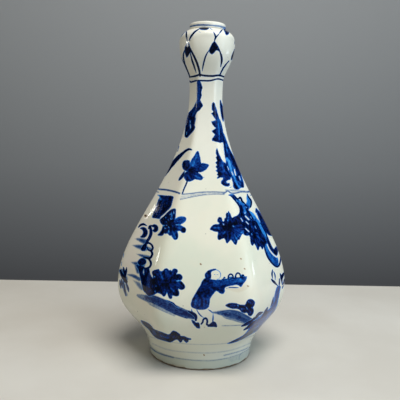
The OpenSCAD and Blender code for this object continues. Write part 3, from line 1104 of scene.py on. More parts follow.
attendant = dict(
    shapes=[
        (0.86, [
            (205, 274), (206, 272.5), (208, 270.8), (210, 269.8), (213, 269), (215.8, 268.8), (216, 269.9),
            (213, 270.8), (211.5, 271.8), (211, 273.5), (211.3, 276), (210.5, 278.5), (207, 279),
            (205, 277),
        ]),
        (0.77, [
            (205, 278.3), (203, 280), (201.5, 282.5), (200, 286), (198, 289), (196, 292.5), (194.5, 295),
            (192.5, 298.5), (191.3, 302), (190.8, 305), (192, 307.3), (195, 308.3), (199, 309),
            (203, 309.2), (207, 308), (209, 305.5), (209.7, 302), (210, 299), (211.5, 296.5), (213.5, 294),
            (215.5, 291.5), (217, 291), (219, 292.5), (221.5, 294), (223.5, 293.5), (225, 291.3),
            (224.6, 288.6), (226.4, 286.9), (229, 286.2), (233, 285.4), (236.5, 284.8), (239, 285.6),
            (240.8, 287.2), (242, 286), (243.5, 283.5), (245.5, 281), (246.8, 278.5), (246.5, 276.8),
            (245, 276.5), (242, 277), (238, 278), (233, 279), (228, 279.5), (224, 279.6), (220, 279.6),
            (216, 279.8), (212.5, 279.5), (209, 278.8),
        ]),
        (0.86, [
            (208, 325.2), (210.4, 324), (213, 321.8), (215.4, 322.8), (217, 326.4), (214, 326.9),
            (208.6, 326.7),
        ]),
        (0.86, [
            (191.5, 320), (194.5, 321), (196, 322.5), (198.8, 322.6), (199.8, 326), (199.7, 328.3),
            (197, 328), (194.5, 325.5), (192.5, 323),
        ]),
    ],
    pale=[
        (0.16, 4.0, [(213, 282.6), (221, 283), (231, 281.6), (240, 280.4)]),
        (0.14, 1.6, [(214, 286), (220, 286)]),
        (0.2, 2.2, [(240.5, 280), (242.5, 281)]),
        (0.2, 1.2, [(196, 299.5), (195.2, 305)]),
        (0.22, 1.4, [(200, 299.5), (199.4, 306)]),
        (0.2, 1.4, [(204, 300), (203.8, 306)]),
        (0.16, 1.0, [(207.6, 300), (207.4, 305)]),
        (0.2, 2.0, [(207, 274.5), (208.5, 277)]),
    ],
    deep=[
        (0.87, 5.0, [(206.5, 282), (203.5, 288), (200, 294)]),
        (0.87, 4.0, [(211, 284), (208.5, 290), (206, 296)]),
        (0.96, 1.4, [(204, 280), (200, 287), (195.5, 294.5), (192.5, 300)]),
        (0.95, 1.6, [(213, 288), (219, 290), (223, 291)]),
    ],
    strokes=[
        (0.5, 0.8, (0.9, 0.9), [
            (214, 269.6), (217, 270), (219.4, 271.6), (220.7, 274), (220.4, 276.6), (218.8, 278.8),
            (216, 279.8),
        ]),
        (0.9, 1.0, (0.8, 0.8), [(192, 307), (196, 308.6), (201, 309.3), (206, 308.6), (209, 306)]),
        (0.7, 1.0, [(226, 288.5), (230, 287.5), (236, 287.6), (240.5, 287)]),
        (0.7, 1.1, [(191.5, 309), (192, 311.5), (194, 314)]),
        (0.7, 1.1, [(196.5, 309.5), (198.5, 313), (201, 315.8), (203.5, 317.5)]),
        (0.7, 1.1, [(208, 309.5), (210.5, 311), (213, 313)]),
        (0.6, 1.6, [(213.2, 314), (213, 319), (212.6, 322.5)]),
        (0.88, 1.9, (0.8, 0.8), [
            (201.2, 324), (202.8, 322), (203.2, 319.8), (205.5, 318.2), (207, 319.5), (207.3, 322),
            (206.8, 324.5), (208.8, 325.2),
        ]),
        (0.85, 1.4, (0.8, 0.8), [
            (208, 325), (210, 324.5), (213, 322.3), (215.3, 323), (216.5, 326.5), (214.5, 326.3),
            (208, 326.3),
        ]),
    ],
)
servingTray = dict(
    strokes=[
        (0.85, 1.1, (0.9, 0.9), [(223.4, 278.8), (224, 277.2), (225.2, 277.8)]),
        (0.9, 1.5, (0.9, 0.9), [
            (228, 278.8), (228.6, 275.8), (230.4, 274.2), (232.4, 274.9), (233.6, 278.4),
        ]),
        (0.7, 1.0, (0.9, 0.9), [(229.4, 277.8), (231, 277), (232.6, 277.6)]),
        (0.9, 1.5, (0.9, 0.9), [(235.4, 278), (236, 274.6), (237.8, 273), (239.8, 274), (240.6, 277)]),
        (0.9, 1.5, (0.9, 0.9), [(242.2, 276.8), (242.6, 275), (243.8, 275.4)]),
        (0.9, 1.2, (0.8, 0.8), [(222, 279.3), (230, 279), (239, 277.8), (246.6, 276.8)]),
    ],
)
rightGround = dict(
    sweeps=[
        (0.9, 7, [
            (211.4, 312.2, 0.8), (217, 312.7, 2.4), (223, 313.2, 5), (229, 313.8, 7.4), (236, 315, 8.4),
            (243, 318, 8), (249, 321, 7), (255, 324, 5),
        ]),
        (0.5, 3, [(221, 316.6, 1), (228, 318, 2.4), (236, 320, 3), (246, 323, 3), (253, 326, 3)]),
    ],
    mist=[
        (0.72, 1, 2.4, [
            (213, 312.4, 0.8), (220, 313, 2.6), (227, 313.8, 5), (235, 314.6, 5), (244, 318.6, 5),
            (251, 322.6, 4),
        ]),
        (1, 2.4, 2.4, [(224, 313.6), (229, 315.4)]),
        (0.95, 2.0, 2.6, [(239, 317), (245, 319)]),
        (0.4, 0.8, 1.4, [(222.3, 325.7), (232, 325.6), (242.8, 325)]),
    ],
)
lowBush = dict(
    shapes=[(0.9, [
        (225.4, 305.6), (228, 303.6), (232, 302.9), (236, 303.2), (239, 304.4), (242, 304.8), (245, 304.6),
        (246.2, 302.6), (247.2, 300.4), (250, 299), (253, 299.8), (255, 302.4), (254.2, 305.4),
        (253, 307.4), (253.8, 310), (253.2, 313.4), (251, 316), (248.6, 315.4), (247, 312.8), (244, 313),
        (241.4, 312), (239.6, 309.8), (237, 308.8), (233, 308.8), (228.6, 307.4),
    ])],
    pale=[
        (0.2, 1.2, [(230.5, 305.6), (235, 305.8)]),
        (0.26, 1.4, [(250.2, 302.2), (251, 303.2)]),
        (0.22, 1.2, [(249.6, 310.4), (250.6, 312)]),
        (0.22, 1.2, [(243, 308.2), (244.6, 309.2)]),
    ],
    deep=[
        (1, 1.6, [(226.5, 305.8), (231, 303.8)]),
        (1, 1.6, [(240, 306), (243, 306.4)]),
        (1, 1.6, [(247, 306), (251, 306.4)]),
    ],
    bare=[
        (0.7, [(237.4, 305.2), (238.4, 305.8)]),
        (0.8, [(246.6, 307.6), (247.2, 309)]),
        (0.6, [(241.6, 308.6), (242, 309.4)]),
        (0.6, [(251.6, 307.4), (252.4, 307.8)]),
        (0.6, [(248.4, 301.4), (248.8, 302.2)]),
    ],
)
bentTree = dict(
    shapes=[
        (0.6, [
            (229, 194.6), (233.5, 194.2), (236, 197), (238.5, 199), (242, 202.3), (246, 205), (249, 209),
            (246, 211), (244.5, 213), (243, 216.5), (240.5, 216.5), (240, 213), (240.3, 209), (238.8, 205),
            (236, 201.5), (232.5, 197.5),
        ]),
        (0.52, [
            (247, 195), (249, 198.5), (250.5, 202), (250, 207), (247.5, 208.3), (245.5, 205.5),
            (246.8, 201), (246.5, 198),
        ]),
        (0.62, [
            (244, 207), (248, 210), (252, 212), (255, 215), (257, 218.5), (259.5, 221.5), (262, 225),
            (264.5, 230), (266.5, 235), (268.5, 240), (270.5, 245), (272.5, 249), (275, 253), (277.5, 257),
            (278.5, 262), (277.7, 266), (274.1, 265.5), (270.7, 262.3), (267.8, 257.5), (265.6, 252.5),
            (264.2, 247), (263, 241), (261, 236), (257.5, 229), (254.5, 223), (251.5, 219.5), (248.5, 216),
            (245.5, 213),
        ]),
        (0.93, [
            (267.8, 237), (269.5, 241), (271.5, 245.5), (273.5, 248.8), (275, 247.7), (276, 246.5),
            (277.5, 248.5), (278, 251.5), (277.3, 254.8), (275.3, 255.3), (273, 253.3), (271, 250),
            (269, 245), (267.5, 240),
        ]),
        (0.86, [
            (256, 208), (259, 211), (261.4, 214), (264.6, 218.5), (267.2, 222), (269.8, 227), (271.6, 231),
            (272.4, 235.6), (268.6, 235), (265.4, 231.4), (263, 227), (260.6, 222.2), (258.2, 217.6),
            (256.4, 214), (255.4, 211.4),
        ]),
    ],
    pale=[
        # paler wash here, partly a painted reflection of glare on the glaze
        (0.27, 3.6, [(251.6, 212.4), (254.6, 216.8)]),
        (0.28, 1.6, [(256.8, 220), (259.6, 226), (263.4, 233.6)]),
        (0.3, 1.2, [(260.8, 224.6), (263.4, 230.4), (265.8, 236)]),
        (0.1, 2.4, [(266, 246), (269.4, 254), (274, 262)]),
        (0.2, 1.6, [(237, 199.6), (242, 204.4)]),
        (0.24, 1.4, [(243.6, 208), (246, 212)]),
    ],
    deep=[
        (0.95, 2.2, [(247, 209.6), (249, 214), (252, 218.6)]),
        (0.95, 2.0, [(240.8, 206), (242, 211), (241.5, 215.6)]),
        (0.93, 1.8, [(246, 205.6), (249, 209.4)]),
        (0.9, 1.4, [(233, 197), (238, 203)]),
        (0.93, 1.4, [(257, 226.6), (260, 232.6), (262.6, 239)]),
    ],
    strokes=[
        (0.9, 1.6, [
            (228.5, 195), (231, 196), (234, 199), (236.5, 202), (238.6, 205), (240, 208), (240.3, 211),
            (239.5, 213.5), (237.8, 215.3),
        ]),
        (0.9, 1.4, [(231.5, 194.5), (234, 195.5), (236.5, 198.3), (239, 201.3)]),
        (0.97, 2.0, [
            (236.5, 198), (238.5, 198.8), (240, 197.6), (241.3, 199), (242, 201), (244, 203), (246.5, 205),
        ]),
        (0.95, 1.8, [
            (247.2, 194), (248.5, 197), (250.3, 199.5), (251.3, 202), (250.8, 206), (249.5, 208.5),
        ]),
        (0.9, 1.4, [
            (245.5, 213), (248.5, 216.2), (251.5, 219.8), (254.5, 223.4), (257.5, 229), (261, 236),
            (263.5, 241), (265, 247),
        ]),
        (0.9, 1.4, [
            (258.5, 219.5), (261, 223.5), (263.3, 228), (265.5, 232), (267.3, 237.5), (269.5, 243.5),
            (272.5, 249),
        ]),
        (0.9, 1.8, (0.8, 0.6), [
            (264, 245), (265.8, 252), (268, 257.3), (271.2, 262), (275, 265.8), (277.6, 266.6),
            (279.3, 264.8), (280.3, 261), (280.6, 257),
        ]),
    ],
    bare=[
        (1.2, [(256.2, 213), (257.6, 216.8)]),
        (0.9, [(258.6, 219.6), (260, 222.4)]),
        (1.4, [
            (267.2, 244.4), (269.2, 249), (271.8, 252.8), (274.6, 255.6), (277, 256.8), (278.4, 254),
            (278.8, 251),
        ]),
        (0.6, [(250.6, 216.4), (251.6, 218.4)]),
        (0.6, [(245.8, 206.8), (247, 207.8)]),
        (0.5, [(236.4, 200.6), (237.4, 201.8)]),
        (0.6, [(262.4, 235.4), (263.4, 238)]),
    ],
)
treeLeaves = dict(
    shapes=[
        (0.92, [
            (210.2, 228.6), (212.5, 225.5), (215, 224.3), (218, 224.2), (219.3, 223.2), (217.5, 221.5),
            (217.6, 219), (219, 217.3), (220.8, 217.2), (222, 218.5), (222.3, 220.5), (223.3, 221.6),
            (224.3, 220.5), (224.5, 218.6), (226, 217.5), (225.8, 215), (226.5, 213), (228, 212.5),
            (228.4, 210.8), (229.2, 212.5), (230.5, 214), (231.2, 216.5), (232.5, 217.8), (233.5, 217),
            (235, 216.3), (237, 215.6), (240, 213), (240.3, 218), (243, 222), (245.5, 223.5), (246, 225.5),
            (244.5, 227.5), (245, 229.5), (243.5, 231), (243, 233.5), (241.5, 235), (239.5, 239.5),
            (238, 240), (236.3, 244.6), (234.5, 244), (232.5, 241.3), (231.3, 240), (230.5, 239.8),
            (227.5, 243.3), (226, 242), (225.3, 239.8), (224, 238.3), (221.5, 239), (219.3, 240),
            (217.8, 239), (217.5, 236.8), (217.8, 234.5), (218, 232), (214.5, 231.5), (212.5, 230.6),
            (210.3, 229.8),
        ]),
        (0.94, [
            (249.5, 221.5), (252, 221), (255.5, 222), (258, 226), (260.5, 231), (263, 236), (265, 240),
            (265.5, 243), (264, 245.5), (263, 248.8), (262, 249), (260.5, 246.5), (259.5, 247),
            (258.6, 249.8), (257.5, 249.8), (256.5, 247.5), (255.3, 245), (254.3, 243.5), (252.8, 245.5),
            (251.3, 244.5), (250.3, 241), (250.3, 238), (249, 235.5), (246, 235), (243.8, 234.5),
            (243.5, 231.5), (246.5, 226.8), (248.5, 226),
        ]),
        (0.9, [
            (240, 215), (243.5, 214), (246.4, 214.4), (250, 219), (252.4, 222.4), (250.6, 227), (250, 232),
            (248, 235.6), (244, 234.4), (242, 229), (241, 224),
        ]),
    ],
    pale=[
        (0.24, 1.4, [(236, 239), (241, 232.5)]),
        (0.24, 1.2, [(239, 236.5), (243, 231)]),
        (0.2, 1.6, [(221, 236), (225, 232)]),
        (0.2, 1.6, [(214, 228), (219, 228)]),
        (0.2, 1.4, [(228.4, 214), (228.6, 220)]),
        (0.22, 1.4, [(252, 226.5), (254, 231.5)]),
        (0.2, 1.4, [(257, 233), (260, 241)]),
    ],
    veins=[
        (0.18, 1.2, (228, 227), [
            (212.5, 228), (218.5, 219), (228.4, 212.5), (236, 217), (243.5, 225), (243, 232), (238, 240),
            (235.5, 243), (227.5, 242), (220, 239), (218, 235),
        ]),
        (0.24, 0.6, (232, 229), [
            (246, 228), (245.6, 231), (244.6, 234), (242.6, 237), (240.6, 239.6), (238, 242), (234.6, 244),
            (231, 242),
        ]),
        (0.18, 1.2, (252, 232), [
            (251, 222.5), (256, 224), (261, 234), (264.5, 242), (262.5, 247.5), (258.3, 248.5),
            (252.5, 244), (246, 234),
        ]),
    ],
    deep=[
        (1, 5.0, [(224, 226), (230, 226.5)]),
        (0.97, 3.0, [(219.5, 219.5), (222, 223)]),
        (0.97, 2.4, [(219, 237.5), (223, 235)]),
        (0.97, 3.0, [(236, 220), (234, 225)]),
        (0.98, 3.0, [(247, 232), (252, 236), (253, 241)]),
    ],
    bare=[
        (1.3, [(240.8, 218.2), (242.8, 221.4)]),
        (1.6, [(245.5, 228.3), (249, 231.8)]),
        (2.0, [(245.4, 216), (248.8, 219.6)]),
        (1.5, [(246, 221.6), (248.4, 224)]),
        (1.0, [(223.1, 223.9), (223.9, 224.9)]),
        (1.0, [(233, 225.8), (233.8, 226.8)]),
        (0.6, [(255, 226), (256.2, 228.6)]),
        (0.6, [(251.4, 233.4), (252, 235)]),
        (0.5, [(227.2, 219.8), (227.6, 220.6)]),
        (0.5, [(218.6, 229.4), (219.4, 229.6)]),
    ],
)
bankTwigs = dict(
    strokes=[
        (0.88, 1.6, [(272.6, 269.6), (272, 274), (272.6, 278.4)]),
        (0.93, 2.4, [(271.4, 279.2), (274, 282), (277.6, 285.6)]),
        (0.8, 1.2, [(273.6, 271.5), (275, 275), (275.2, 280)]),
        (0.93, 2.6, [(284, 272.6), (282.4, 276), (281.6, 279.6)]),
        (0.93, 2.2, [(280.2, 273.6), (281.4, 278), (282, 284)]),
        (0.85, 1.8, [(284.4, 279), (283.4, 284), (282.2, 288.6)]),
        (0.85, 1.6, [(279.4, 278.6), (279.4, 283), (279, 286.6)]),
    ],
)
rightBank = dict(
    shapes=[(0.64, [
        (278, 285.8), (280.6, 286.2), (280, 291), (278.4, 299), (277.2, 305), (275, 310), (272.8, 314.6),
        (269.5, 319.4), (265, 324.6), (258.5, 329.6), (250.5, 334.6), (242, 339.4), (234, 342.6),
        (227, 343.8), (233, 340.6), (242.6, 335.6), (246.6, 331.6), (249.6, 327), (252.4, 323.6),
        (255, 320), (259, 317), (262, 314.6), (266, 311.4), (269.4, 308.6), (272.4, 304.4), (273.6, 300),
        (275, 293), (276.6, 287.6),
    ])],
    pale=[(0.16, 1.6, [(271, 312), (265, 320.6), (256, 328)])],
    deep=[
        (0.7, 1.6, [(268, 311.6), (262, 317.6), (256, 322.6), (250.6, 329)]),
        (0.74, 1.2, [(279, 288), (277.4, 296), (275.4, 304)]),
        (0.86, 2.4, [(252, 331.6), (246, 335.6), (238, 339.8), (230, 343)]),
    ],
    mist=[(0.5, 1, 2.4, [(272, 308, 1), (266, 313, 3), (259, 319, 4), (250, 323.4, 3)])],
    strokes=[
        (0.84, 2.8, [(267.6, 307.6), (265.4, 312), (262.6, 316.4)]),
        (0.86, 3.0, [(255.6, 317), (259.5, 313.6), (262.8, 312)]),
        (0.9, 2.4, [(250.6, 321.6), (254.6, 318.4), (258.4, 316.6)]),
        (0.88, 3.0, [(241.6, 326.2), (246, 324.2), (249.5, 322), (254, 319.6)]),
        (0.86, 2.8, [(243.8, 330), (248.5, 327), (252, 323.6), (257, 319.6)]),
        (0.8, 2.4, [(248.6, 331.4), (253, 327.6), (259.6, 321)]),
        (0.78, 2.2, [(261, 318.6), (265.4, 314), (269.6, 310)]),
        (0.8, 2.0, [(244, 335), (249, 332), (254, 328.6)]),
        (0.8, 1.8, [(270.6, 306.6), (272.4, 302.6), (273.4, 297)]),
        (0.74, 1.6, [(256, 330), (260, 326), (265, 320)]),
    ],
)
nearBank = dict(
    shapes=[(0.9, [
        (140.8, 320.4), (144.4, 321.4), (148.6, 323.4), (151.6, 326), (153.2, 328.6), (156, 330),
        (160, 331.5), (165, 333.3), (169, 334.5), (171.5, 332), (173.5, 330.7), (176.5, 331.8),
        (179.5, 333.8), (181, 336), (183.5, 336), (186, 336.8), (188.5, 338), (190.8, 338.5), (191, 339.8),
        (188.5, 340), (188.3, 341.5), (186.3, 342.8), (184.5, 341), (183, 339.8), (181.5, 342),
        (179.8, 342.3), (178, 340), (175, 340), (172, 341.8), (169.5, 342.3), (165, 341), (160, 339.5),
        (156.5, 338), (153.5, 335.7), (151, 332.7), (149.4, 330.2), (147, 327.8), (144.4, 325.6),
        (142, 322.8),
    ])],
    pale=[(0.28, 1.6, [(153, 331), (156, 334)]), (0.26, 1.6, [(160, 336), (168, 338)])],
    deep=[(1, 3.0, [(168, 340.5), (171, 340.5)])],
)
footMist = dict(
    mist=[
        (0.24, 0.9, 1.4, [
            (150, 336.6), (168, 341.6), (185, 343.8), (205, 344.6), (225, 343.4), (240, 340), (254, 335.2),
        ]),
        (0.22, 1.2, 1.6, [
            (152.6, 343.6), (165, 348.8), (180, 351.6), (205, 353), (226, 351.2), (240, 347.4),
            (251, 342.6),
        ]),
        (0.46, 1.2, 2.0, [(150.6, 347.4), (156, 351.6), (163, 354.6), (173, 357.4)]),
        (0.28, 1.2, 1.6, [(171, 357), (182, 359), (196, 360.4), (212, 360.6), (228, 358)]),
        (0.34, 1.2, 1.8, [(224, 355.4), (236, 352.4), (244, 349.6), (252, 346)]),
        (0.28, 1.0, 1.8, [(230, 357.4), (240, 354), (249, 349)]),
        (0.3, 0.9, 1.4, [(239, 359.4), (239.4, 356), (242, 352.6)]),
        (0.16, 7, 4, [(232, 358.6), (240, 356), (248, 351.6)]),
    ],
)
calmFace = dict(  # eyes at half the head's height, mouth about half-way from there to the chin
    centre=(216, 274.6),
    half=(4.4, 4.2),
    strokes=[(-0.3, 0.0, 0.14), (0.34, 0.0, 0.14), (0.02, 0.52, 0.14)],  # eyes and mouth: place, half width
    tone=0.5,
    width=0.6,
    ends=(0.9, 0.9),
)
firingSpots = (  # stains and pinholes: tone, width, points
    (0.55, 1.2, [(247.4, 286), (248.4, 286.2)]),
    (0.16, 5.0, [(228, 287), (238, 290), (246, 287)]),
    (0.2, 5.0, [(173, 366), (178, 367), (183, 367.6)]),
    (0.9, 0.9, [(240.8, 258.7), (241.1, 259)]),
    (0.8, 0.9, [(244.5, 268.6), (244.9, 269)]),
    (0.95, 1.1, [(200.5, 264), (200.9, 264.4)]),
    (1, 1.6, [(145.2, 215.6), (147, 216.2)]),
    (0.9, 0.8, [(203.8, 354.8), (204.3, 355.3)]),
)
ringLines = (  # right end, left end, tone, width and, where it is mist, softness
    ((224.8, 27.9), (190, 26.7), 0.66, 1.5),
    ((224.4, 77), (189.8, 77), 0.97, 1.8),
    ((224.4, 80.8), (189.6, 81), 0.92, 1.5),
    ((247, 192), (160, 189.3), 0.76, 1.2, 1.2),
    ((250, 195), (159, 192.6), 0.54, 0.8, 1.2),
    ((252, 346.4), (151.4, 347), 0.34, 1.4, 1.6),
    ((254, 335.2), (150, 336.6), 0.22, 0.8, 1.4),
)


def paintFace():
    s = calmFace
    for across, down, half in s["strokes"]:
        x, y = s["centre"][0] + across * s["half"][0], s["centre"][1] + down * s["half"][1]
        brush(s["tone"], s["width"], s["ends"], [(x - half * s["half"][0], y), (x + half * s["half"][0], y)])


def ringLine(right, left, tone, width, soft=0):
    # carries a line round the hidden side, from the photo place on its right to the one on its left
    spots = []
    for x, y in (right, left):
        gap = np.where(sight["shown"], np.hypot(sight["across"] - x, sight["down"] - y), farOff)
        spots.append(skinPlaces[gap.argmin()])
    start, stop = (math.atan2(p[0], -p[1]) for p in spots)
    span = (stop - start) % (2 * math.pi)
    around = (np.arctan2(skinPlaces[:, 0], -skinPlaces[:, 1]) - start) % (2 * math.pi)
    level = spots[0][2] + (spots[1][2] - spots[0][2]) * around / span
    waver = brushwork["waver"] * np.sin(brushwork["waverTurns"] * around) * np.sin(np.pi * around / span)
    depth = width / 2 - np.abs(skinPlaces[:, 2] - (level + waver)) / brushwork["pixel"]
    found = np.flatnonzero((around < span) & (depth > bare))
    if soft:
        veil = tone * ease((depth[found] + soft * brushwork["bleed"]) / soft)
        paint["mistTone"][found] = np.maximum(paint["mistTone"][found], veil)
    else:
        lay("line", found, depth[found], tone)


bodyLeft = (leafBlock, tripleLeaf, gardenRock, broadLeaf, groundWash, nearBank)
bodyRight = (bentTree, treeLeaves, rightGround, lowBush, bankTwigs, rightBank)
neckScene = (neckBranch, sawLeaf, neckTrunk, curlLeaf, leftArc, neckFlower)
headRound = (petalCap, garlicPetal)


def paintSide(turn, motifs):
    lookFrom(turn)
    for motif in motifs:
        paintMotif(motif)


def paintFront():
    paintSide(0, (lipLine, *headRound, sidePetals, headLines, *neckScene, shoulderLines))
    paintSide(0, (*bodyLeft, *bodyRight, attendant, servingTray, footMist))
    paintFace()
    for tone, width, points in firingSpots:
        mist(tone, width, brushwork["rustSoft"], points, "rustTone")


def paintRings():
    lookFrom(0)
    for ring in ringLines:
        ringLine(*ring)


backTurns = dict(head=(120, 180, 240), neck=180, body=180)


def paintBack():
    for turn in backTurns["head"]:
        paintSide(turn, headRound)
    paintSide(backTurns["neck"], neckScene)
    paintSide(backTurns["body"], (*bodyLeft, *bodyRight, attendant, servingTray))
    paintFace()


paintFront()
print("front painted")
paintRings()
paintBack()
print("sides and back painted")

for name, values in paint.items():
    for index, (piece, outer) in enumerate(paintedPieces):
        whole = np.full(len(piece.data.vertices), bare if name.endswith("Edge") else 0.0, np.float32)
        whole[outer] = values[skinOwners == index]
        piece.data.attributes.new(name, "FLOAT", "POINT").data.foreach_set("value", whole)
print("brush marks stored on", len(paintedPieces), "pieces")


# materials
def tint(*shade):
    # a colour written as it looks on screen, turned to the light that it gives back
    parts = [c / 255 for c in shade]
    return (*(c / 12.92 if c <= 0.04045 else ((c + 0.055) / 1.055) ** 2.4 for c in parts), 1.0)


def newMaterial(name):
    material = bpy.data.materials.new(name)
    material.use_nodes = True
    tree = material.node_tree
    return material, tree, tree.nodes["Principled BSDF"]


def addNode(tree, kind, **settings):
    node = tree.nodes.new(kind)
    for name, value in settings.items():
        setattr(node, name, value)
    return node


def setInputs(node, **values):
    for name, value in values.items():
        node.inputs[name].default_value = value
    return node


def feed(tree, socket, value):
    if hasattr(value, "is_output"):
        tree.links.new(value, socket)
    else:
        socket.default_value = value


def reckon(tree, operation, *values):
    node = addNode(tree, "ShaderNodeMath", operation=operation)
    for socket, value in zip(node.inputs, values):
        feed(tree, socket, value)
    return node.outputs[0]


def times(tree, product, *values):
    for value in values:
        product = reckon(tree, "MULTIPLY", product, value)
    return product


def spread(tree, value, low, high, toLow=0.0, toHigh=1.0):
    node = addNode(tree, "ShaderNodeMapRange", interpolation_type="SMOOTHSTEP")
    setInputs(node, **{"From Min": low, "From Max": high, "To Min": toLow, "To Max": toHigh})
    tree.links.new(value, node.inputs["Value"])
    return node.outputs["Result"]


def ownPlace(tree):
    return addNode(tree, "ShaderNodeTexCoord").outputs["Object"]


def placeParts(tree, place):
    apart = addNode(tree, "ShaderNodeSeparateXYZ")
    tree.links.new(place, apart.inputs[0])
    return apart.outputs


def cloud(tree, place, scale, detail=2.0, rough=0.5):
    node = setInputs(addNode(tree, "ShaderNodeTexNoise"), Scale=scale, Detail=detail, Roughness=rough)
    tree.links.new(place, node.inputs["Vector"])
    return node.outputs["Fac"]


def patches(tree, place, scale, detail, low, high, toLow=0.0, toHigh=1.0, rough=0.5):
    # soft patches, from toLow where the cloud is thin to toHigh where it is thick
    return spread(tree, cloud(tree, place, scale, detail, rough), low, high, toLow, toHigh)


def wander(tree, place, much, **cloudy):
    # a cloudy shift that goes both ways
    return times(tree, reckon(tree, "SUBTRACT", cloud(tree, place, **cloudy), 0.5), much)


def blend(tree, amount, under, over, way="MIX"):
    node = addNode(tree, "ShaderNodeMix", data_type="RGBA", blend_type=way)
    for socket, value in ((node.inputs["Factor"], amount), (node.inputs[6], under), (node.inputs[7], over)):
        feed(tree, socket, value)
    return node.outputs[2]


def inkScale(tree, amount, tones):
    ramp = addNode(tree, "ShaderNodeValToRGB")
    for i, (at, colour) in enumerate(tones):
        stop = ramp.color_ramp.elements[i] if i < 2 else ramp.color_ramp.elements.new(at)
        stop.position = at
        stop.color = tint(*colour)
    tree.links.new(amount, ramp.inputs["Fac"])
    return ramp.outputs["Color"]


def newGroup(name, inputs, outputs):
    tree = bpy.data.node_groups.new(name, "ShaderNodeTree")
    for way, sockets in (("INPUT", inputs), ("OUTPUT", outputs)):
        for label, kind in sockets.items():
            tree.interface.new_socket(label, in_out=way, socket_type="NodeSocket" + kind)
    return tree, addNode(tree, "NodeGroupInput"), addNode(tree, "NodeGroupOutput")


glazeLook = dict(
    cream=tint(225, 219, 198),
    stains=(  # colour, and the patches it lies in
        (tint(213, 213, 192), dict(scale=22, detail=3, low=0.35, high=0.7)),  # green
        (tint(225, 214, 192), dict(scale=34, detail=4, rough=0.6, low=0.5, high=0.76, toHigh=0.7)),  # warm
        (tint(224, 215, 206), dict(scale=15, detail=3, rough=0.6, low=0.48, high=0.72, toHigh=0.7)),  # pink
    ),
    levels=(  # colour, two heights in metres and how much of it lies at each
        (tint(227, 222, 207), 0.12, 0.2, 0, 0.8),  # lighter and paler towards the neck
        (tint(208, 208, 192), 0.022, 0.07, 0.85, 0),  # painted shade: darker towards the foot, where the lower body faces down
    ),
    specks=(  # scale of the scatter, size, share of cells, colour
        (75, 0.035, 0.16, tint(88, 78, 66)),
        (48, 0.028, 0.12, tint(158, 112, 70)),
        (130, 0.05, 0.2, tint(150, 148, 138)),
    ),
    speckFade=1.7,  # a speck is gone at this many times its size
    speckTone=0.75,
    shine=dict(scale=60, detail=3, low=0.3, high=0.7, toLow=0.04, toHigh=0.09),
    ripple=dict(scale=45, detail=2),
    fineRipple=dict(scale=320, detail=2),
    fineShare=0.2,
)


def glazeGroup():
    # cool cream glaze with warm stains, pinholes and a faint ripple, lighter on the neck, with painted shade
    # towards the foot
    look = glazeLook
    tree, _, out = newGroup("porcelainGlaze", {}, {"Color": "Color", "Shine": "Float", "Ripple": "Float"})
    place = ownPlace(tree)
    colour = look["cream"]
    for stainAndShade, where in look["stains"]:
        colour = blend(tree, patches(tree, place, **where), colour, stainAndShade)
    height = placeParts(tree, place)["Z"]
    # lighter towards the neck, and painted shade darkening the glaze towards the foot
    for stainAndShade, *levels in look["levels"]:
        colour = blend(tree, spread(tree, height, *levels), colour, stainAndShade)
    for scale, size, share, ink in look["specks"]:
        cells = setInputs(addNode(tree, "ShaderNodeTexVoronoi"), Scale=scale)
        tree.links.new(place, cells.inputs["Vector"])
        dot = spread(tree, cells.outputs["Distance"], size, size * look["speckFade"], look["speckTone"], 0)
        picked = addNode(tree, "ShaderNodeSeparateColor")
        tree.links.new(cells.outputs["Color"], picked.inputs[0])
        rare = reckon(tree, "LESS_THAN", picked.outputs[0], share)
        colour = blend(tree, times(tree, dot, rare), colour, ink)
    tree.links.new(colour, out.inputs["Color"])
    tree.links.new(patches(tree, place, **look["shine"]), out.inputs["Shine"])
    fine = times(tree, cloud(tree, place, **look["fineRipple"]), look["fineShare"])
    tree.links.new(reckon(tree, "ADD", cloud(tree, place, **look["ripple"]), fine), out.inputs["Ripple"])
    return tree


cobalt = dict(
    ink=(  # from a thin wash to heaped ink
        (0.0, (158, 172, 190)), (0.22, (112, 146, 186)), (0.36, (56, 144, 212)), (0.48, (30, 104, 178)),
        (0.62, (12, 58, 130)), (0.76, (3, 29, 90)), (0.88, (2, 15, 54)), (1.0, (1, 5, 20)),
    ),
    mist=(
        (0.0, (180, 186, 188)), (0.35, (122, 138, 158)), (0.55, (74, 102, 144)), (0.7, (40, 74, 126)),
        (0.85, (20, 48, 102)), (1.0, (6, 24, 76)),
    ),
    rust=((0.0, (206, 194, 168)), (0.3, (196, 172, 138)), (0.55, (134, 110, 86)), (1.0, (46, 42, 40))),
    cover=dict(ink=0.34, mist=0.4, rust=0.45),  # tone at which each hides the glaze
    edgeWaver=0.8,  # in photo pixels
    edgeCloud=dict(scale=900, detail=3, rough=0.6),
    lineShare=0.6,  # a line's edge wavers less
    pool=dict(scale=230, detail=4, rough=0.6, low=0.3, high=0.7, toLow=0.88, toHigh=1.12),
    heap=dict(scale=700, detail=3, low=0.34, high=0.68, toLow=0.87, toHigh=1.1),
    loaded=dict(scale=400, detail=2, low=0.3, high=0.7, toLow=0.9, toHigh=1.05),
    rim=(0.0, 2.0, 0.9, 1.02),  # a wash thins towards its edge: two depths in photo pixels, tone at each
    washFade=(-0.6, 0.5),
    lineFade=(-0.35, 0.35),
)


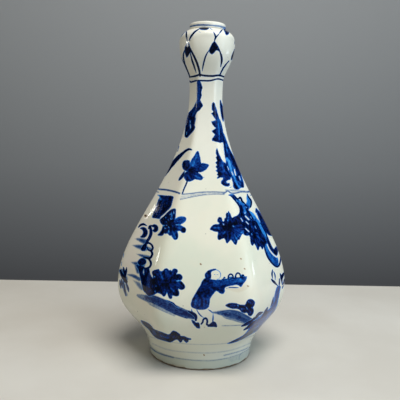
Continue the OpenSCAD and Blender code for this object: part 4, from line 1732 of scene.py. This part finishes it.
def cobaltGroup():
    # brush marks under the glaze: firing spots, soft mist, then washes and lines with heaped dark spots
    c = cobalt
    tree, into, out = newGroup("cobaltPainting", {"Glaze": "Color"}, {"Color": "Color"})
    place = ownPlace(tree)
    mark = {name: addNode(tree, "ShaderNodeAttribute", attribute_name=name).outputs["Fac"] for name in paint}
    waver = wander(tree, place, c["edgeWaver"], **c["edgeCloud"])
    washEdge = reckon(tree, "ADD", mark["washEdge"], waver)
    lineEdge = reckon(tree, "ADD", mark["lineEdge"], times(tree, waver, c["lineShare"]))
    pool, heap, loaded = (patches(tree, place, **c[k]) for k in ("pool", "heap", "loaded"))
    rim = spread(tree, washEdge, *c["rim"])
    wash = times(tree, mark["washTone"], pool, heap, rim, spread(tree, washEdge, *c["washFade"]))
    line = times(tree, mark["lineTone"], loaded, spread(tree, lineEdge, *c["lineFade"]))
    veil = times(tree, mark["mistTone"], pool, heap)
    colour = into.outputs["Glaze"]
    coats = dict(rust=mark["rustTone"], mist=veil, ink=reckon(tree, "MAXIMUM", wash, line))
    for coat, tone in coats.items():
        colour = blend(tree, spread(tree, tone, 0.0, c["cover"][coat]), colour, inkScale(tree, tone, c[coat]))
    tree.links.new(colour, out.inputs["Color"])
    return tree


glazeTree = glazeGroup()
cobaltTree = cobaltGroup()
glazeFinish = dict(ior=1.25, bump=0.16, bumpDepth=0.4 * mm)


def glazeMaterial(name):
    material, tree, shader = newMaterial(name)
    setInputs(shader, IOR=glazeFinish["ior"])
    glaze = addNode(tree, "ShaderNodeGroup", node_tree=glazeTree)
    painted = addNode(tree, "ShaderNodeGroup", node_tree=cobaltTree)
    tree.links.new(glaze.outputs["Color"], painted.inputs["Glaze"])
    bump = addNode(tree, "ShaderNodeBump")
    setInputs(bump, Strength=glazeFinish["bump"], Distance=glazeFinish["bumpDepth"])
    tree.links.new(glaze.outputs["Ripple"], bump.inputs["Height"])
    tree.links.new(bump.outputs["Normal"], shader.inputs["Normal"])
    return material, tree, shader, glaze.outputs["Shine"], painted.outputs["Color"]


def paintedGlaze():
    material, tree, shader, shine, colour = glazeMaterial("paintedGlaze")
    tree.links.new(colour, shader.inputs["Base Color"])
    tree.links.new(shine, shader.inputs["Roughness"])
    return material


footLook = dict(
    shade=tint(233, 236, 234),  # painted shade under the belly's overhang, partly a thicker, greyer glaze
    biscuit=tint(140, 120, 96),
    burnt=tint(88, 72, 56),
    grain=dict(scale=300, detail=4, low=0.3, high=0.7),
    bareTop=1.1 * mm,
    glazeFrom=1.9 * mm,
    waver=2.2 * mm,
    waverCloud=dict(scale=120, detail=3),
    dull=0.6,
)


def footGlaze():
    # the lower edge is bare biscuit, with burnt places, below a wavering edge of glaze that carries painted
    # shade
    look = footLook
    material, tree, shader, shine, colour = glazeMaterial("footGlaze")
    place = ownPlace(tree)
    waver = wander(tree, place, look["waver"], **look["waverCloud"])
    height = reckon(tree, "ADD", placeParts(tree, place)["Z"], waver)
    covered = spread(tree, height, look["bareTop"], look["glazeFrom"])
    clay = blend(tree, patches(tree, place, **look["grain"]), look["biscuit"], look["burnt"])
    # painted shade on the foot's glaze, partly a greyer glaze
    thickAndShaded = blend(tree, 1.0, colour, look["shade"], "MULTIPLY")
    tree.links.new(blend(tree, covered, clay, thickAndShaded), shader.inputs["Base Color"])
    dull = times(tree, reckon(tree, "SUBTRACT", 1.0, covered), look["dull"])
    tree.links.new(reckon(tree, "ADD", shine, dull), shader.inputs["Roughness"])
    return material


slipLook = dict(
    pale=tint(206, 196, 176),
    dark=tint(188, 176, 152),
    grain=dict(scale=500, detail=4, low=0.3, high=0.7),
    rough=dict(scale=200, detail=2, low=0.3, high=0.7, toLow=0.55, toHigh=0.75),
    joints=("foot_slip", "belly_slip", "shoulder_slip", "head_slip", "rim_slip"),
)


def firedSlip():
    look = slipLook
    material, tree, shader = newMaterial("firedSlip")
    place = ownPlace(tree)
    colour = blend(tree, patches(tree, place, **look["grain"]), look["pale"], look["dark"])
    tree.links.new(colour, shader.inputs["Base Color"])
    tree.links.new(patches(tree, place, **look["rough"]), shader.inputs["Roughness"])
    return material


glazed, footed, slip = paintedGlaze(), footGlaze(), firedSlip()
for piece, _ in paintedPieces:
    piece.data.materials.clear()
    piece.data.materials.append(footed if piece.name == "footRing" else glazed)
for name in slipLook["joints"]:
    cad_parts[name].data.materials.clear()
    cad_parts[name].data.materials.append(slip)
print("materials set")


# a pale table top with a plain grey backdrop behind it, painted darker towards the floor as painted shade
stageSet = dict(
    tableBack=213 * mm,
    tableFront=-700 * mm,
    tableHalf=900 * mm,
    wallGap=900 * mm,
    wallHalf=2.2,
    tableTones=(tint(210, 204, 193), tint(202, 195, 183)),
    tablePatches=dict(scale=9, detail=4, low=0.3, high=0.7),
    tableRough=0.85,
    paperRough=0.9,
    specular=0.2,
    # height in metres, colour: the paper is painted darker low down, painted shade
    wall=((-0.24, (106, 105, 106)), (0.1, (152, 151, 150)), (0.58, (183, 182, 180))),
    wings=(0.72, 1.0),  # beyond the picture's edges the paper turns dark, so the glaze mirrors no pale haze
    wingShade=tint(52, 53, 55),
)


def plainMaterial(name, rough):
    material, tree, shader = newMaterial(name)
    setInputs(shader, **{"Roughness": rough, "Specular IOR Level": stageSet["specular"]})
    return material, tree, shader, ownPlace(tree)


def stagePlane(name, width, height, place, tilt, material):
    bpy.ops.object.select_all(action="DESELECT")
    bpy.ops.mesh.primitive_plane_add(size=1, location=place, rotation=(tilt, 0, 0))
    plane = bpy.context.object
    plane.name = name
    plane.scale = (width, height, 1)
    bpy.ops.object.transform_apply(location=True, rotation=True, scale=True)
    plane.data.materials.append(material)


def buildTable():
    s = stageSet
    material, tree, shader, place = plainMaterial("paleTable", s["tableRough"])
    tone = blend(tree, patches(tree, place, **s["tablePatches"]), *s["tableTones"])
    tree.links.new(tone, shader.inputs["Base Color"])
    middle = (s["tableBack"] + s["tableFront"]) / 2
    stagePlane("tableTop", 2 * s["tableHalf"], s["tableBack"] - s["tableFront"], (0, middle, 0), 0, material)


def buildBackdrop():
    s = stageSet
    material, tree, shader, place = plainMaterial("greyPaper", s["paperRough"])
    apart = placeParts(tree, place)
    low, high = s["wall"][0][0], s["wall"][-1][0]
    # painted shade: the paper darkens towards the floor
    rise = reckon(tree, "DIVIDE", reckon(tree, "SUBTRACT", apart["Z"], low), high - low)
    tones = [((z - low) / (high - low), colour) for z, colour in s["wall"]]
    aside = spread(tree, reckon(tree, "ABSOLUTE", apart["X"]), *s["wings"])
    paper = blend(tree, aside, inkScale(tree, rise, tones), s["wingShade"])
    tree.links.new(paper, shader.inputs["Base Color"])
    back = (0, s["tableBack"] + s["wallGap"], 0)
    stagePlane("greyBackdrop", 2 * s["wallHalf"], 2 * s["wallHalf"], back, math.pi / 2, material)


buildTable()
buildBackdrop()

lamps = (  # azimuth from the front and elevation in degrees; aim, distance and size in metres
    dict(name="windowRight", azimuth=58, elevation=13, aim=(0, 0, 0.13), distance=0.95,
         size=(1.0, 0.4), power=5.0, colour=(0.54, 0.77, 1.0)),
    dict(name="softTop", azimuth=22, elevation=66, aim=(0, 0, 0.13), distance=1.1,
         size=(0.7, 0.5), power=12.4, colour=(1.0, 1.0, 0.99)),
    dict(name="glintLeft", azimuth=-105, elevation=15, aim=(-0.04, -0.05, 0.095), distance=0.9,
         size=(0.12, 0.11), power=0.8, colour=(0.96, 1.0, 0.97)),
    dict(name="glintBehind", azimuth=-128.8, elevation=15, aim=(-0.047, -0.03, 0.123), distance=0.9,
         size=(0.006, 0.045), power=0.018, colour=(1.0, 0.96, 0.9)),
    dict(name="glintRight", azimuth=110, elevation=6, aim=(0.045, -0.055, 0.086), distance=0.9,
         size=(0.16, 0.1), power=0.4, colour=(0.75, 0.9, 1.0)),
)
for lamp in lamps:
    a, e = math.radians(lamp["azimuth"]), math.radians(lamp["elevation"])
    away = Vector((math.sin(a) * math.cos(e), -math.cos(a) * math.cos(e), math.sin(e)))
    bpy.ops.object.light_add(type="AREA", location=Vector(lamp["aim"]) + away * lamp["distance"])
    light = bpy.context.object
    light.name = lamp["name"]
    light.data.shape = "RECTANGLE"
    light.data.size, light.data.size_y = lamp["size"]
    light.data.energy = lamp["power"]
    light.data.color = lamp["colour"]
    light.rotation_euler = (-away).to_track_quat("-Z", "Y").to_euler()

roomLight = dict(Color=(0.92, 0.98, 1.0, 1), Strength=0.17)
world = bpy.data.worlds.new("studio")
bpy.context.scene.world = world
world.use_nodes = True
setInputs(world.node_tree.nodes["Background"], **roomLight)
bpy.context.scene.view_settings.view_transform = "Standard"
print("stage and lamps set")
